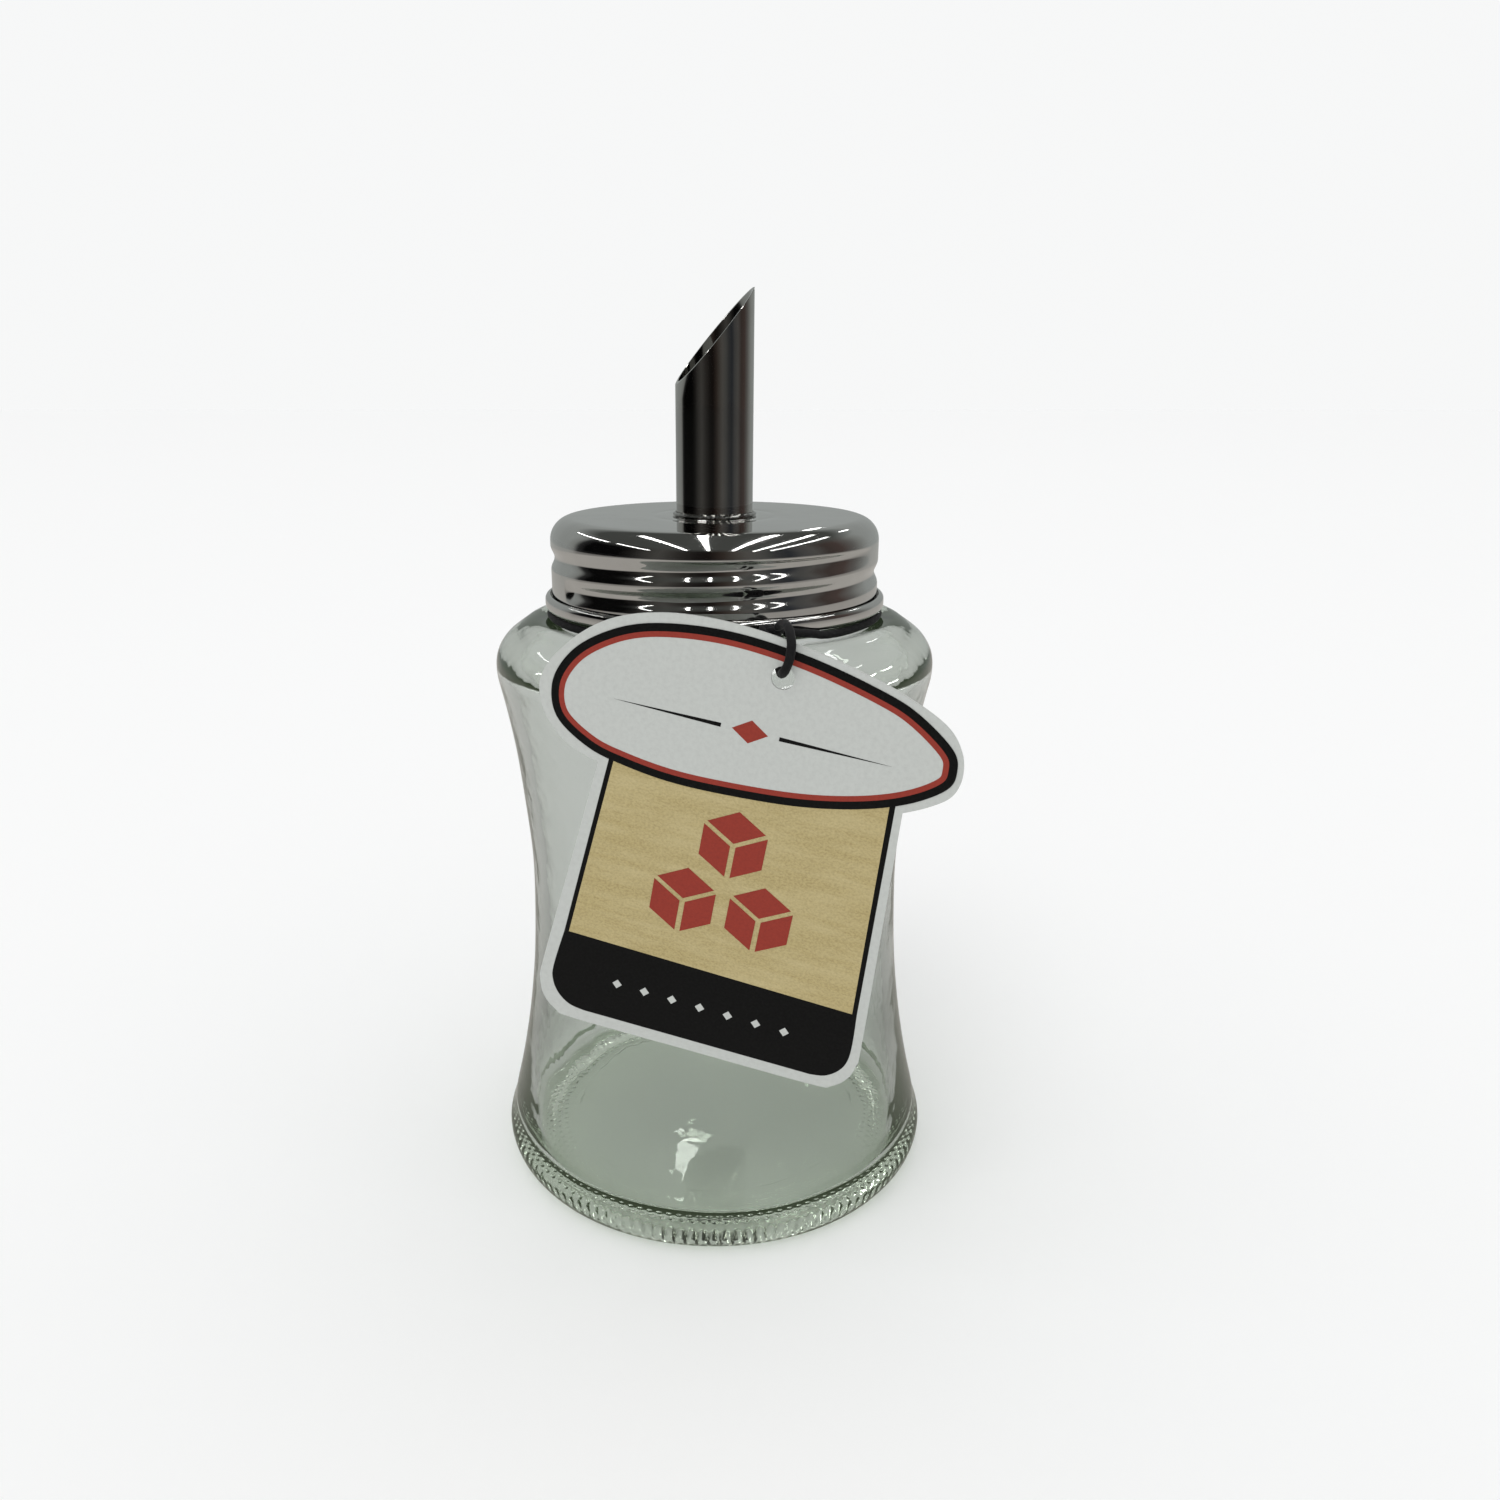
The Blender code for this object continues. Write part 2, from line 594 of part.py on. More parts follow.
make_jar(glass)
make_lid(lid_steel)
make_gasket(gasket_rubber)
make_tube(tube_steel)
make_bead(bead_steel)
make_ferrule(ferrule_steel)
neck_loop = make_neck_loop(neck_elastic)
knot = make_knot(knot_elastic)
tag_loop = make_cord("tag_loop", TAG_LOOP, tag_elastic, knot.location)
hang_tag = make_tag(tag_board)

# The knot turns with the loop, and the tag hangs on its own cord from the knot.
bpy.context.view_layer.update()
for child, holder in ((knot, neck_loop), (tag_loop, knot), (hang_tag, tag_loop)):
    child.parent = holder
    child.matrix_parent_inverse = holder.matrix_world.inverted()
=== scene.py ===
# %% [markdown]
# # A sugar dispenser
# The object is a waisted glass jar with a steel screw lid. A steel pour tube stands
# up through the lid and is cut off at a slant, and a printed card hangs from an
# elastic cord round the neck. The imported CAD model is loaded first, as a fixed frame.
# Every piece made here lies in that same frame, in metres, with +Z up.

import math

import bmesh
import bpy
import numpy as np
from mathutils import Matrix, Vector, noise


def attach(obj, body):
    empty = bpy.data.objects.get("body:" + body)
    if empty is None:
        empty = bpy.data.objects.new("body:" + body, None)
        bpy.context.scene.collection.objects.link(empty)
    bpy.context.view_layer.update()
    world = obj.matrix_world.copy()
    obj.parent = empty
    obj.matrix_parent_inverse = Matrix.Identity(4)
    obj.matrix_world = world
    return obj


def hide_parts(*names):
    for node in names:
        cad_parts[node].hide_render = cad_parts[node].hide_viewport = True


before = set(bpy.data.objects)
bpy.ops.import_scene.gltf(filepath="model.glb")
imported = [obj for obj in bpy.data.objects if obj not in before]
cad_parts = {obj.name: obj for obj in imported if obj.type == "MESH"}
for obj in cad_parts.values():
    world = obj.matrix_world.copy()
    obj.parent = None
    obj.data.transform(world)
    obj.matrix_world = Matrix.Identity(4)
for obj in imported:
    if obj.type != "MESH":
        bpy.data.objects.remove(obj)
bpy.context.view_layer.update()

# %% [markdown]
# ## The camera
# A camera is matched to a photograph by its place, its pitch and its focal length.
# The rings of the lid and of the foot give the pitch, and the widths of near and far
# parts give the distance. The jar stands a little left of the middle of the picture,
# so the lens is shifted by that much and the camera still looks straight along +Y.

# %% Set the camera
PHOTO_SIDE = 1500.0
FOCAL_IN_PIXELS = 1170.0
AXIS_OFFSET_IN_PIXELS = 35.5
PITCH_DOWN = 17.46
CAMERA_PLACE = (0.0, -0.1948, 0.1351)


def in_scene(name, data):
    """Make an object of this data and put it in the scene."""
    made = bpy.data.objects.new(name, data)
    bpy.context.scene.collection.objects.link(made)
    return made


camera_data = bpy.data.cameras.new("camera")
camera_data.sensor_width = 36.0
camera_data.lens = camera_data.sensor_width * FOCAL_IN_PIXELS / PHOTO_SIDE
camera_data.shift_x = AXIS_OFFSET_IN_PIXELS / PHOTO_SIDE
camera = in_scene("camera", camera_data)
camera.location = CAMERA_PLACE
camera.rotation_euler = (math.radians(90.0 - PITCH_DOWN), 0.0, 0.0)
bpy.context.scene.camera = camera
bpy.context.scene.view_settings.view_transform = "Standard"
print("lens", round(camera_data.lens, 2), "mm")

# %% [markdown]
# ## Sizes
# These are the sizes of the CAD model, so that a finer surface lies where the solid
# lies. Two places differ a little, within the solid's outline: the wall of the jar
# meets the floor in a tighter corner, and the groove of the lid is wider and softer.
# The tables are shares of the way from one named place to the next.

# %% Sizes of the jar, the lid and the tube
CLEARANCE = 0.0003
FIT = 0.00015
SEAL_GAP = 0.00025
BASE_RADIUS, BASE_BULGE_HEIGHT = 0.0385, 0.0045
WAIST_RADIUS, WAIST_HEIGHT = 0.0321, 0.050
SHOULDER_RADIUS, SHOULDER_HEIGHT = 0.0365, 0.0895
CREST_RADIUS = 0.0298
NECK_RADIUS, NECK_WALL = 0.02525, 0.00275
RIM_HEIGHT, RIM_ROUND = 0.1125, 0.00045
JAR_WALL, HEEL_WALL, FLOOR_THICKNESS = 0.0027, 0.0043, 0.0046
BEARING_RADIUS, BEARING_WIDTH, PUNT_DEPTH = 0.0335, 0.0021, 0.0018
PITCH, RIDGE_HALF = 0.00423, 0.00085
GLASS_THREAD_DEPTH = 0.00095
THREAD_STAGGER, THREAD_RELIEF = 0.0012, 0.0005
THREAD_FADE, THREAD_END = 30.0, 336.0
LID_WALL, LID_CORNER, LID_HEIGHT = 0.00045, 0.0036, 0.0147
HEM_REACH, HEM_HEIGHT = 0.00115, 0.0024
TUBE_RADIUS, TUBE_WALL, TUBE_RISE = 0.00625, 0.0005, 0.0277
MOUTH_SLOPE, MOUTH_TURN = 1.17, 10.0
FOOT_HEIGHT, FOOT_SLOPE = 0.0220, -0.45
CORD_RADIUS, CORD_GAP = 0.00065, 0.0002

THREAD_WALL = NECK_RADIUS + GLASS_THREAD_DEPTH + 0.00025
LID_RADIUS = THREAD_WALL + LID_WALL
LID_UNDER = RIM_HEIGHT + 2.0 * SEAL_GAP + 0.00085
LID_TOP = LID_UNDER + LID_WALL
HEM_BOTTOM = LID_TOP - LID_HEIGHT
HEM_RADIUS = LID_RADIUS + HEM_REACH
LID_THREAD_LOW = HEM_BOTTOM + HEM_HEIGHT + CLEARANCE
LID_THREAD_HEIGHT = LID_THREAD_LOW + THREAD_RELIEF + RIDGE_HALF + PITCH / 2.0
GLASS_THREAD_HEIGHT = LID_THREAD_HEIGHT + THREAD_STAGGER
GLASS_THREAD_LOW = GLASS_THREAD_HEIGHT - PITCH / 2.0 - RIDGE_HALF - THREAD_RELIEF
CORD_HEIGHT = HEM_BOTTOM - CORD_GAP - CORD_RADIUS
SEAT_HEIGHT = CORD_HEIGHT - CORD_RADIUS - CLEARANCE
NECK_BORE = NECK_RADIUS - NECK_WALL
TUBE_HOLE = TUBE_RADIUS + FIT
print("lid from", round(HEM_BOTTOM * 1000, 1), "to", round(LID_TOP * 1000, 1), "mm")

# %% [markdown]
# ## Helpers for curves and meshes
# A Catmull-Rom curve passes through each of its points, so a few points at the right
# places are enough for a soft outline. Meshes are made from plain lists of points and
# faces, which keeps every vertex under control.

# %% Curve and mesh helpers
def smooth_path(points, steps, closed=False):
    """Catmull-Rom curve through points, as a numpy array."""
    points = np.array(points, float)
    count = len(points)
    spans = count if closed else count - 1
    path = []
    for index in range(spans):
        if closed:
            before, here, there, after = (points[(index + k) % count] for k in (-1, 0, 1, 2))
        else:
            before, here = points[max(index - 1, 0)], points[index]
            there, after = points[index + 1], points[min(index + 2, count - 1)]
        for step in range(steps):
            t = step / steps
            path.append(0.5 * (
                2.0 * here + (there - before) * t
                + (2.0 * before - 5.0 * here + 4.0 * there - after) * t ** 2
                + (3.0 * here - before - 3.0 * there + after) * t ** 3
            ))
    if not closed:
        path.append(points[-1])
    return np.array(path)


def run(start, end, shares):
    """Points on the way between two (radius, height) places."""
    return [
        (start[0] + (end[0] - start[0]) * across, start[1] + (end[1] - start[1]) * up)
        for across, up in shares
    ]


def add_piece(name, verts, faces, materials, body, sharp=None):
    """Make a mesh object that rides on a CAD body."""
    mesh = bpy.data.meshes.new(name)
    mesh.from_pydata([tuple(v) for v in verts], [], [tuple(f) for f in faces])
    solid = bmesh.new()
    solid.from_mesh(mesh)
    bmesh.ops.recalc_face_normals(solid, faces=solid.faces[:])
    solid.to_mesh(mesh)
    solid.free()
    mesh.shade_smooth()
    if sharp is not None:
        mesh.set_sharp_from_angle(angle=math.radians(sharp))
    for material in materials:
        mesh.materials.append(material)
    piece = in_scene(name, mesh)
    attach(piece, body)
    print(name, len(mesh.vertices), "points")
    return piece


# %% [markdown]
# ## Turned pieces
# The jar, the lid and the tube are round, so each is a grid: one row of points per
# step along the outline and one column per step round the axis. A thread is only a
# place where the radius of the grid swells along a helix. This beats a separate
# spiral laid on the wall, because glass must be one closed skin to refract well.

# %% Grid of a turned piece
def turned_faces(rows, columns, ring=False, first_cap=False, last_cap=False):
    """Faces of a grid that closes round the axis; caps use one extra point each."""
    faces = []
    spans = rows if ring else rows - 1
    for row in range(spans):
        low, high = row * columns, ((row + 1) % rows) * columns
        for column in range(columns):
            after = (column + 1) % columns
            faces.append((low + column, low + after, high + after, high + column))
    tip = rows * columns
    if first_cap:
        faces += [((c + 1) % columns, c, tip) for c in range(columns)]
        tip += 1
    if last_cap:
        start = (rows - 1) * columns
        faces += [(start + c, start + (c + 1) % columns, tip) for c in range(columns)]
    return faces


def shifted(faces, offset):
    return [tuple(corner + offset for corner in face) for face in faces]


def stitched(coarse, fine, columns, ratio):
    """Faces between a row of points and a row that has ratio times as many."""
    faces = []
    for column in range(columns):
        here, after = coarse + column, coarse + (column + 1) % columns
        for step in range(ratio):
            first = fine + column * ratio + step
            second = fine + (column * ratio + step + 1) % (columns * ratio)
            faces.append((here if step < ratio // 2 else after, first, second))
        faces.append((here, fine + column * ratio + ratio // 2, after))
    return faces


def turned_points(radii, heights, angles):
    """Points of a grid from its radii and heights, rows by columns."""
    shape = (len(radii), len(angles))
    radii = np.broadcast_to(radii, shape)
    heights = np.broadcast_to(heights, shape)
    grid = np.stack([radii * np.cos(angles), radii * np.sin(angles), heights], axis=-1)
    return grid.reshape(-1, 3)


def column(values):
    return np.array(values, float)[:, None]


def turned_run(places, angles):
    """Grid of an outline that is the same all round."""
    return turned_points(column(places[:, 0]), column(places[:, 1]), angles)


def ridge(angles, heights, start_height, top, half=RIDGE_HALF, start=-180.0,
          start_fade=THREAD_FADE):
    """Share of the full thread depth at each point of a grid, from 0 to 1."""
    end = min(THREAD_END, 360.0 * (top - RIDGE_HALF - start_height) / PITCH)
    best = np.zeros(np.broadcast_shapes(heights.shape, angles.shape))
    for lap in (0, 1):
        along = np.degrees(angles) + 360.0 * lap
        middle = start_height + PITCH * np.minimum(along, end) / 360.0
        swell = np.minimum((along - start) / start_fade, (end - along) / THREAD_FADE)
        swell = np.clip(swell, 0.0, 1.0)
        offset = np.clip((heights - middle) / half, -1.0, 1.0)
        best = np.maximum(best, swell * (0.5 + 0.5 * np.cos(math.pi * offset)))
    return best


JAR_COLUMNS = 192
LID_COLUMNS = 360
TUBE_COLUMNS = 96


def angles_of(columns):
    return np.radians(-180.0 + 360.0 * np.arange(columns) / columns)


# %% [markdown]
# ## Node groups for shared effects
# Real surfaces are never quite even. Three effects come back in several finishes:
# slow smudges that make gloss patchy, fine lines from brushing or drawing, and small
# fibres or flecks. Each is one node group that gives masks, heights or a roughness,
# and each material places it with its own values.

# %% Node helpers
def new_group(name, inputs, outputs):
    group = bpy.data.node_groups.new(name, "ShaderNodeTree")
    for label, kind, default in inputs:
        socket = group.interface.new_socket(label, in_out="INPUT", socket_type=kind)
        socket.default_value = default
    for label, kind in outputs:
        group.interface.new_socket(label, in_out="OUTPUT", socket_type=kind)
    return group, group.nodes.new("NodeGroupInput"), group.nodes.new("NodeGroupOutput")


def add_node(tree, kind, inputs=None, **settings):
    """Add a shader node; inputs are values or sockets to link from."""
    node = tree.nodes.new("ShaderNode" + kind)
    for key, value in settings.items():
        setattr(node, key, value)
    for key, value in (inputs or {}).items():
        if isinstance(value, bpy.types.NodeSocket):
            tree.links.new(value, node.inputs[key])
        else:
            node.inputs[key].default_value = value
    return node


def remap(tree, value, low, high, to_low=0.0, to_high=1.0):
    node = add_node(tree, "MapRange", {
        "Value": value, "From Min": low, "From Max": high, "To Min": to_low,
        "To Max": to_high,
    })
    return node.outputs["Result"]


def blend_colours(tree, mask, first, second):
    """Colour between two others; a plain colour is given as red, green and blue."""
    node = add_node(tree, "Mix", data_type="RGBA")
    for index, value in ((0, mask), (6, first), (7, second)):
        if isinstance(value, bpy.types.NodeSocket):
            tree.links.new(value, node.inputs[index])
        else:
            node.inputs[index].default_value = (*value, 1.0)
    return node.outputs[2]


def math_node(tree, operation, first, second):
    node = add_node(tree, "Math", {0: first, 1: second}, operation=operation)
    return node.outputs["Value"]


def stretched_noise(tree, stretch, scale, detail, roughness):
    """Noise in object space that is drawn out along some axes."""
    place = add_node(tree, "TexCoord")
    stretched = add_node(tree, "VectorMath", {0: place.outputs["Object"], 1: stretch},
                         operation="MULTIPLY")
    noise_node = add_node(tree, "TexNoise", {
        "Vector": stretched.outputs["Vector"], "Scale": scale, "Detail": detail,
        "Roughness": roughness,
    })
    return noise_node.outputs["Fac"]


# %% Smudges: slow, patchy change of gloss
smudge, into, out = new_group(
    "smudges",
    [("Scale", "NodeSocketFloat", 60.0), ("Low", "NodeSocketFloat", 0.05),
     ("High", "NodeSocketFloat", 0.15)],
    [("Roughness", "NodeSocketFloat"), ("Mask", "NodeSocketFloat")],
)
place = add_node(smudge, "TexCoord")
cloud = add_node(smudge, "TexNoise", {
    "Vector": place.outputs["Object"], "Scale": into.outputs["Scale"], "Detail": 5.0,
    "Roughness": 0.62, "Distortion": 0.6,
})
CLOUD_RANGE, FLECK_RANGE, FIBRE_RANGE = (0.35, 0.68), (0.4, 0.7), (0.3, 0.7)
soft = remap(smudge, cloud.outputs["Fac"], *CLOUD_RANGE)
smudge.links.new(soft, out.inputs["Mask"])
smudge.links.new(remap(smudge, soft, 0.0, 1.0, into.outputs["Low"], into.outputs["High"]),
                 out.inputs["Roughness"])

# %% Drawn lines: fine scratches that run one way
lines, into, out = new_group(
    "drawn_lines",
    [("Scale", "NodeSocketFloat", 900.0), ("Stretch", "NodeSocketVector", (1.0, 1.0, 0.02))],
    [("Height", "NodeSocketFloat")],
)
lines.links.new(
    stretched_noise(lines, into.outputs["Stretch"], into.outputs["Scale"], 3.0, 0.7),
    out.inputs["Height"])

# %% Fibres: flecks of paper or board
fibres, into, out = new_group(
    "fibres",
    [("Scale", "NodeSocketFloat", 1500.0),
     ("Stretch", "NodeSocketVector", (1.0, 1.0, 1.0)),
     ("Amount", "NodeSocketFloat", 0.5)],
    [("Mask", "NodeSocketFloat"), ("Height", "NodeSocketFloat")],
)
fleck = stretched_noise(fibres, into.outputs["Stretch"], into.outputs["Scale"], 4.0, 0.65)
strength = math_node(fibres, "MULTIPLY", remap(fibres, fleck, *FLECK_RANGE),
                     into.outputs["Amount"])
fibres.links.new(strength, out.inputs["Mask"])
fibres.links.new(fleck, out.inputs["Height"])


# %% Start of every material
def new_material(name, metallic=0.0, ior=1.5, transmission=0.0, specular=0.5):
    """A Principled material whose plain values sit on its own sockets."""
    material = bpy.data.materials.new(name)
    material.use_nodes = True
    tree = material.node_tree
    shader = tree.nodes["Principled BSDF"]
    shader.inputs["Metallic"].default_value = metallic
    shader.inputs["IOR"].default_value = ior
    shader.inputs["Transmission Weight"].default_value = transmission
    shader.inputs["Specular IOR Level"].default_value = specular
    return material, tree, shader


def use_group(tree, group, **values):
    return add_node(tree, "Group", values, node_tree=group)


def flecked_skin(tree, shader, marks, ground, fleck, gloss):
    """Give a ground colour with flecks, and roughness that follows them."""
    tree.links.new(blend_colours(tree, marks.outputs["Mask"], ground, fleck),
                   shader.inputs["Base Color"])
    tree.links.new(remap(tree, marks.outputs["Height"], *FIBRE_RANGE, *gloss),
                   shader.inputs["Roughness"])


def bump_into(tree, shader, height, strength, distance):
    bump = add_node(tree, "Bump", {
        "Height": height, "Strength": strength, "Distance": distance,
    })
    tree.links.new(bump.outputs["Normal"], shader.inputs["Normal"])
    return bump


# %% [markdown]
# ## Cords come first
# The tag hangs on one thin elastic cord: a loop round the neck under the hem, a knot
# in front, and a small loop through the hole of the tag. The cord is black woven
# elastic, 1.3 mm thick. Its route is the one that the CAD model has, and the whole
# loop is round the neck, so its real length is the length of that route.

# %% Route of the loop round the neck
KNOT_HALF_WIDTH, KNOT_HALF_DEPTH, KNOT_HALF_HEIGHT = 0.0021, 0.00145, 0.00135
KNOT_AZIMUTH, KNOT_STAND_OFF, KNOT_RISE = 15.5, 0.0009, 0.0011
KNOT_RADIUS = HEM_RADIUS + KNOT_HALF_DEPTH + KNOT_STAND_OFF
KNOT_HEIGHT = HEM_BOTTOM + KNOT_RISE
SEAT_RADIUS = CREST_RADIUS + (NECK_RADIUS - CREST_RADIUS) * 0.57
RIGHT_BOW_SHARES = (
    (8.5, 0.81, 0.77), (13.5, 0.59, 0.54), (19.5, 0.34, 0.205), (27.5, 0.09, 0.03),
    (36.5, 0.0, 0.0),
)
LEFT_BOW_SHARES = (
    (33.5, 0.0, 0.0), (25.5, 0.15, 0.07), (17.5, 0.42, 0.33), (10.5, 0.69, 0.64),
)
BOW_END_SHARE = 0.94
NECK_LOOP_STEP = 12.0


def round_axis(azimuth, radius, height):
    """Point at an azimuth counted from the front towards the right."""
    turn = math.radians(azimuth)
    return Vector((radius * math.sin(turn), -radius * math.cos(turn), height))


def bow(offset, outwards, upwards):
    radius = SEAT_RADIUS + (KNOT_RADIUS - SEAT_RADIUS) * outwards
    height = CORD_HEIGHT + (KNOT_HEIGHT - CORD_HEIGHT) * upwards
    return round_axis(KNOT_AZIMUTH + offset, radius, height)


bow_end = math.degrees((KNOT_HALF_WIDTH + CORD_GAP) / KNOT_RADIUS)
neck_route = [bow(bow_end, BOW_END_SHARE, BOW_END_SHARE)]
neck_route += [bow(*spot) for spot in RIGHT_BOW_SHARES]
first_turn = RIGHT_BOW_SHARES[-1][0]
last_turn = 360.0 - LEFT_BOW_SHARES[0][0]
turns = round((last_turn - first_turn) / NECK_LOOP_STEP)
for step in range(1, turns):
    neck_route.append(bow(first_turn + (last_turn - first_turn) * step / turns, 0.0, 0.0))
neck_route += [bow(-offset, far, up) for offset, far, up in LEFT_BOW_SHARES]
neck_route.append(bow(-bow_end, BOW_END_SHARE, BOW_END_SHARE))

TAG_LOOP_ROUTE = (
    (0.0090, -0.0315, 0.1020), (0.0095, -0.0340, 0.1030), (0.0098, -0.0375, 0.1035),
    (0.01005, -0.0404, 0.1033), (0.01025, -0.04195, 0.1019), (0.0101, -0.0422, 0.1003),
    (0.0098, -0.0421, 0.0990), (0.0094, -0.0417, 0.0980), (0.0091, -0.0403, 0.09735),
    (0.0089, -0.0390, 0.0977), (0.0087, -0.0376, 0.0986), (0.0083, -0.0350, 0.0998),
    (0.0079, -0.0323, 0.1003),
)

# %% [markdown]
# ## Woven elastic
# Braided elastic shows two sets of strands that cross. They are made as geometry: the
# radius of a fine tube rises and falls along two spirals that wind opposite ways. The
# material adds only the dull black of the yarn with small lint-coloured flecks.

# %% Elastic material
elastic, tree, shader = new_material("woven_elastic", specular=0.25)
flecks = use_group(tree, fibres, Scale=5200.0, Amount=0.5)
flecked_skin(tree, shader, flecks, (0.004, 0.004, 0.0045), (0.022, 0.022, 0.024),
             gloss=(0.6, 0.85))
shader.inputs["Sheen Weight"].default_value = 0.08
shader.inputs["Sheen Roughness"].default_value = 0.4
bump_into(tree, shader, flecks.outputs["Height"], 0.35, 0.00004)

# %% Tube of braided cord along a route
CORD_SIDES = 24
CORD_STEP = 0.00022
BRAID_DEPTH = 0.00005
BRAID_LENGTH = 0.0021


def even_route(points, step, closed=False):
    """The same curve with points at even distances."""
    fine = smooth_path(points, 16, closed)
    if closed:
        fine = np.vstack([fine, fine[:1]])
    lengths = np.concatenate([[0.0], np.cumsum(np.linalg.norm(np.diff(fine, axis=0), axis=1))])
    count = max(8, round(lengths[-1] / step))
    spots = np.linspace(0.0, lengths[-1], count + 1)
    even = np.stack([np.interp(spots, lengths, fine[:, k]) for k in range(3)], axis=1)
    return even[:-1] if closed else even, lengths[-1]


def braided_cord(name, points, body, closed=False):
    route, length = even_route(points, CORD_STEP, closed)
    count = len(route)
    ahead = np.roll(route, -1, axis=0) - np.roll(route, 1, axis=0)
    if not closed:
        ahead[0], ahead[-1] = route[1] - route[0], route[-1] - route[-2]
    ahead /= np.linalg.norm(ahead, axis=1)[:, None]
    side = np.cross(ahead[0], (0.0, 0.0, 1.0))
    turn = np.linspace(0.0, 2.0 * np.pi, CORD_SIDES, endpoint=False)
    verts = []
    for index in range(count):
        side = side - ahead[index] * np.dot(side, ahead[index])
        side /= np.linalg.norm(side)
        up = np.cross(ahead[index], side)
        phase = 2.0 * np.pi * index * CORD_STEP / BRAID_LENGTH
        weave = np.maximum(np.sin(3.0 * turn + phase), np.sin(3.0 * turn - phase))
        radius = CORD_RADIUS - BRAID_DEPTH * (1.0 - weave) * 0.5
        verts.append(route[index] + np.outer(radius * np.cos(turn), side)
                     + np.outer(radius * np.sin(turn), up))
    verts = list(np.concatenate(verts))
    faces = turned_faces(count, CORD_SIDES, ring=closed, first_cap=not closed,
                         last_cap=not closed)
    if not closed:
        verts += [route[0], route[-1]]
    piece = add_piece(name, verts, faces, [elastic], body)
    return piece, route, length


neck_cord, neck_path, neck_length = braided_cord(
    "neck_elastic", neck_route, "neck_cord")
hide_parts("neck_loop")
tag_cord, _, tag_length = braided_cord(
    "tag_elastic", TAG_LOOP_ROUTE, "tag_cord")
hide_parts("tag_loop")
print("cord lengths", round(neck_length, 4), round(tag_length, 4))

# %% [markdown]
# ## The knot
# An overhand knot in round cord is a trefoil pulled tight. The same braided tube is
# led along a flattened trefoil that fills the space of the knot's solid.

# %% Knot
knot_middle = round_axis(KNOT_AZIMUTH, KNOT_RADIUS, KNOT_HEIGHT)
knot_out = round_axis(KNOT_AZIMUTH, 1.0, 0.0)
knot_along = Vector((-knot_out.y, knot_out.x, 0.0))
KNOT_POINTS = 36
TREFOIL_WIDE, TREFOIL_TALL = 2.75, 3.0
knot_route = []
for step in range(KNOT_POINTS):
    t = 2.0 * math.pi * step / KNOT_POINTS
    wide = (math.sin(t) + 2.0 * math.sin(2.0 * t)) / TREFOIL_WIDE
    tall = (math.cos(t) - 2.0 * math.cos(2.0 * t)) / TREFOIL_TALL
    deep = -math.sin(3.0 * t)
    knot_route.append(
        knot_middle + knot_along * wide * (KNOT_HALF_WIDTH - CORD_RADIUS)
        + knot_out * deep * (KNOT_HALF_DEPTH - CORD_RADIUS)
        + Vector((0.0, 0.0, 1.0)) * tall * (KNOT_HALF_HEIGHT - CORD_RADIUS)
    )
knot, _, _ = braided_cord(
    "elastic_knot", knot_route, "neck_cord", closed=True)
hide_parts("cord_knot")

# %% [markdown]
# ## The jar
# Pressed soda glass has a thick foot, a thin waist and a round shoulder. The outside
# follows the mould, but the inside was shaped by air and tools, so it is never quite
# even. That unevenness is what bends the light behind real glass, and it is added to
# the inner rows only. Under the foot the mould leaves a fine ring and rows of small
# knobs that keep the hot glass off the belt. They need a finer grid than the rest, so
# that band has four times as many columns and is stitched to its neighbours.

# %% Outline of the jar
FOOT_SHARES = ((0.41, 0.11), (0.62, 0.22), (0.91, 0.56), (1.0, 1.0))
LOWER_SHARES = (
    (0.125, 0.055), (0.227, 0.121), (0.375, 0.209), (0.5625, 0.341), (0.758, 0.516),
    (0.922, 0.736), (1.0, 1.0),
)
UPPER_SHARES = (
    (0.023, 0.2025), (0.227, 0.456), (0.432, 0.658), (0.659, 0.81), (0.841, 0.911),
    (1.0, 1.0),
)
SHOULDER_SHARES = (
    (0.037, 0.347), (0.261, 0.636), (0.649, 0.867), (0.82, 0.954), (1.0, 1.0),
)
SEAT_SHARES = ((0.22, 0.0), (0.4, 0.57), (0.57, 1.0))
NECK_SHARES = ((0.4, 0.11), (0.76, 0.44), (1.0, 1.0))
PUNT_SHARES = ((0.2, 0.99), (0.45, 0.95), (0.7, 0.85), (0.86, 0.67), (0.94, 0.23))
RIM_SHARES = ((0.0, 0.0), (0.03, 0.4), (0.08, 0.72), (0.19, 1.0), (0.5, 1.0), (0.78, 1.0),
              (0.93, 0.65), (0.985, 0.2), (1.0, -0.6))
BORE_SHARES = ((0.0, 0.0), (0.08, 0.12), (0.38, 0.34), (0.71, 0.61), (0.94, 0.87), (1.0, 1.0))
FLOOR_SHARES = ((0.997, 0.55), (0.985, 0.22), (0.95, 0.05), (0.85, 0.0), (0.5, 0.0), (0.25, 0.0))

bearing = (BEARING_RADIUS + BEARING_WIDTH, 0.0)
bulge = (BASE_RADIUS, BASE_BULGE_HEIGHT)
waist = (WAIST_RADIUS, WAIST_HEIGHT)
shoulder = (SHOULDER_RADIUS, SHOULDER_HEIGHT)
crest = (CREST_RADIUS, SEAT_HEIGHT + CLEARANCE)
dip = run(crest, (NECK_RADIUS, SEAT_HEIGHT), SEAT_SHARES)
outline = run((0.0, 0.0), (BEARING_RADIUS, PUNT_DEPTH), PUNT_SHARES)
outline += [(BEARING_RADIUS, 0.0), bearing]
outline += run(bearing, bulge, FOOT_SHARES) + run(bulge, waist, LOWER_SHARES)
outline += run(waist, shoulder, UPPER_SHARES) + run(shoulder, crest, SHOULDER_SHARES)
outline += dip + run(dip[-1], (NECK_RADIUS, HEM_BOTTOM), NECK_SHARES)
outline.append((NECK_RADIUS, GLASS_THREAD_LOW))
outer_run = smooth_path(outline, 5)
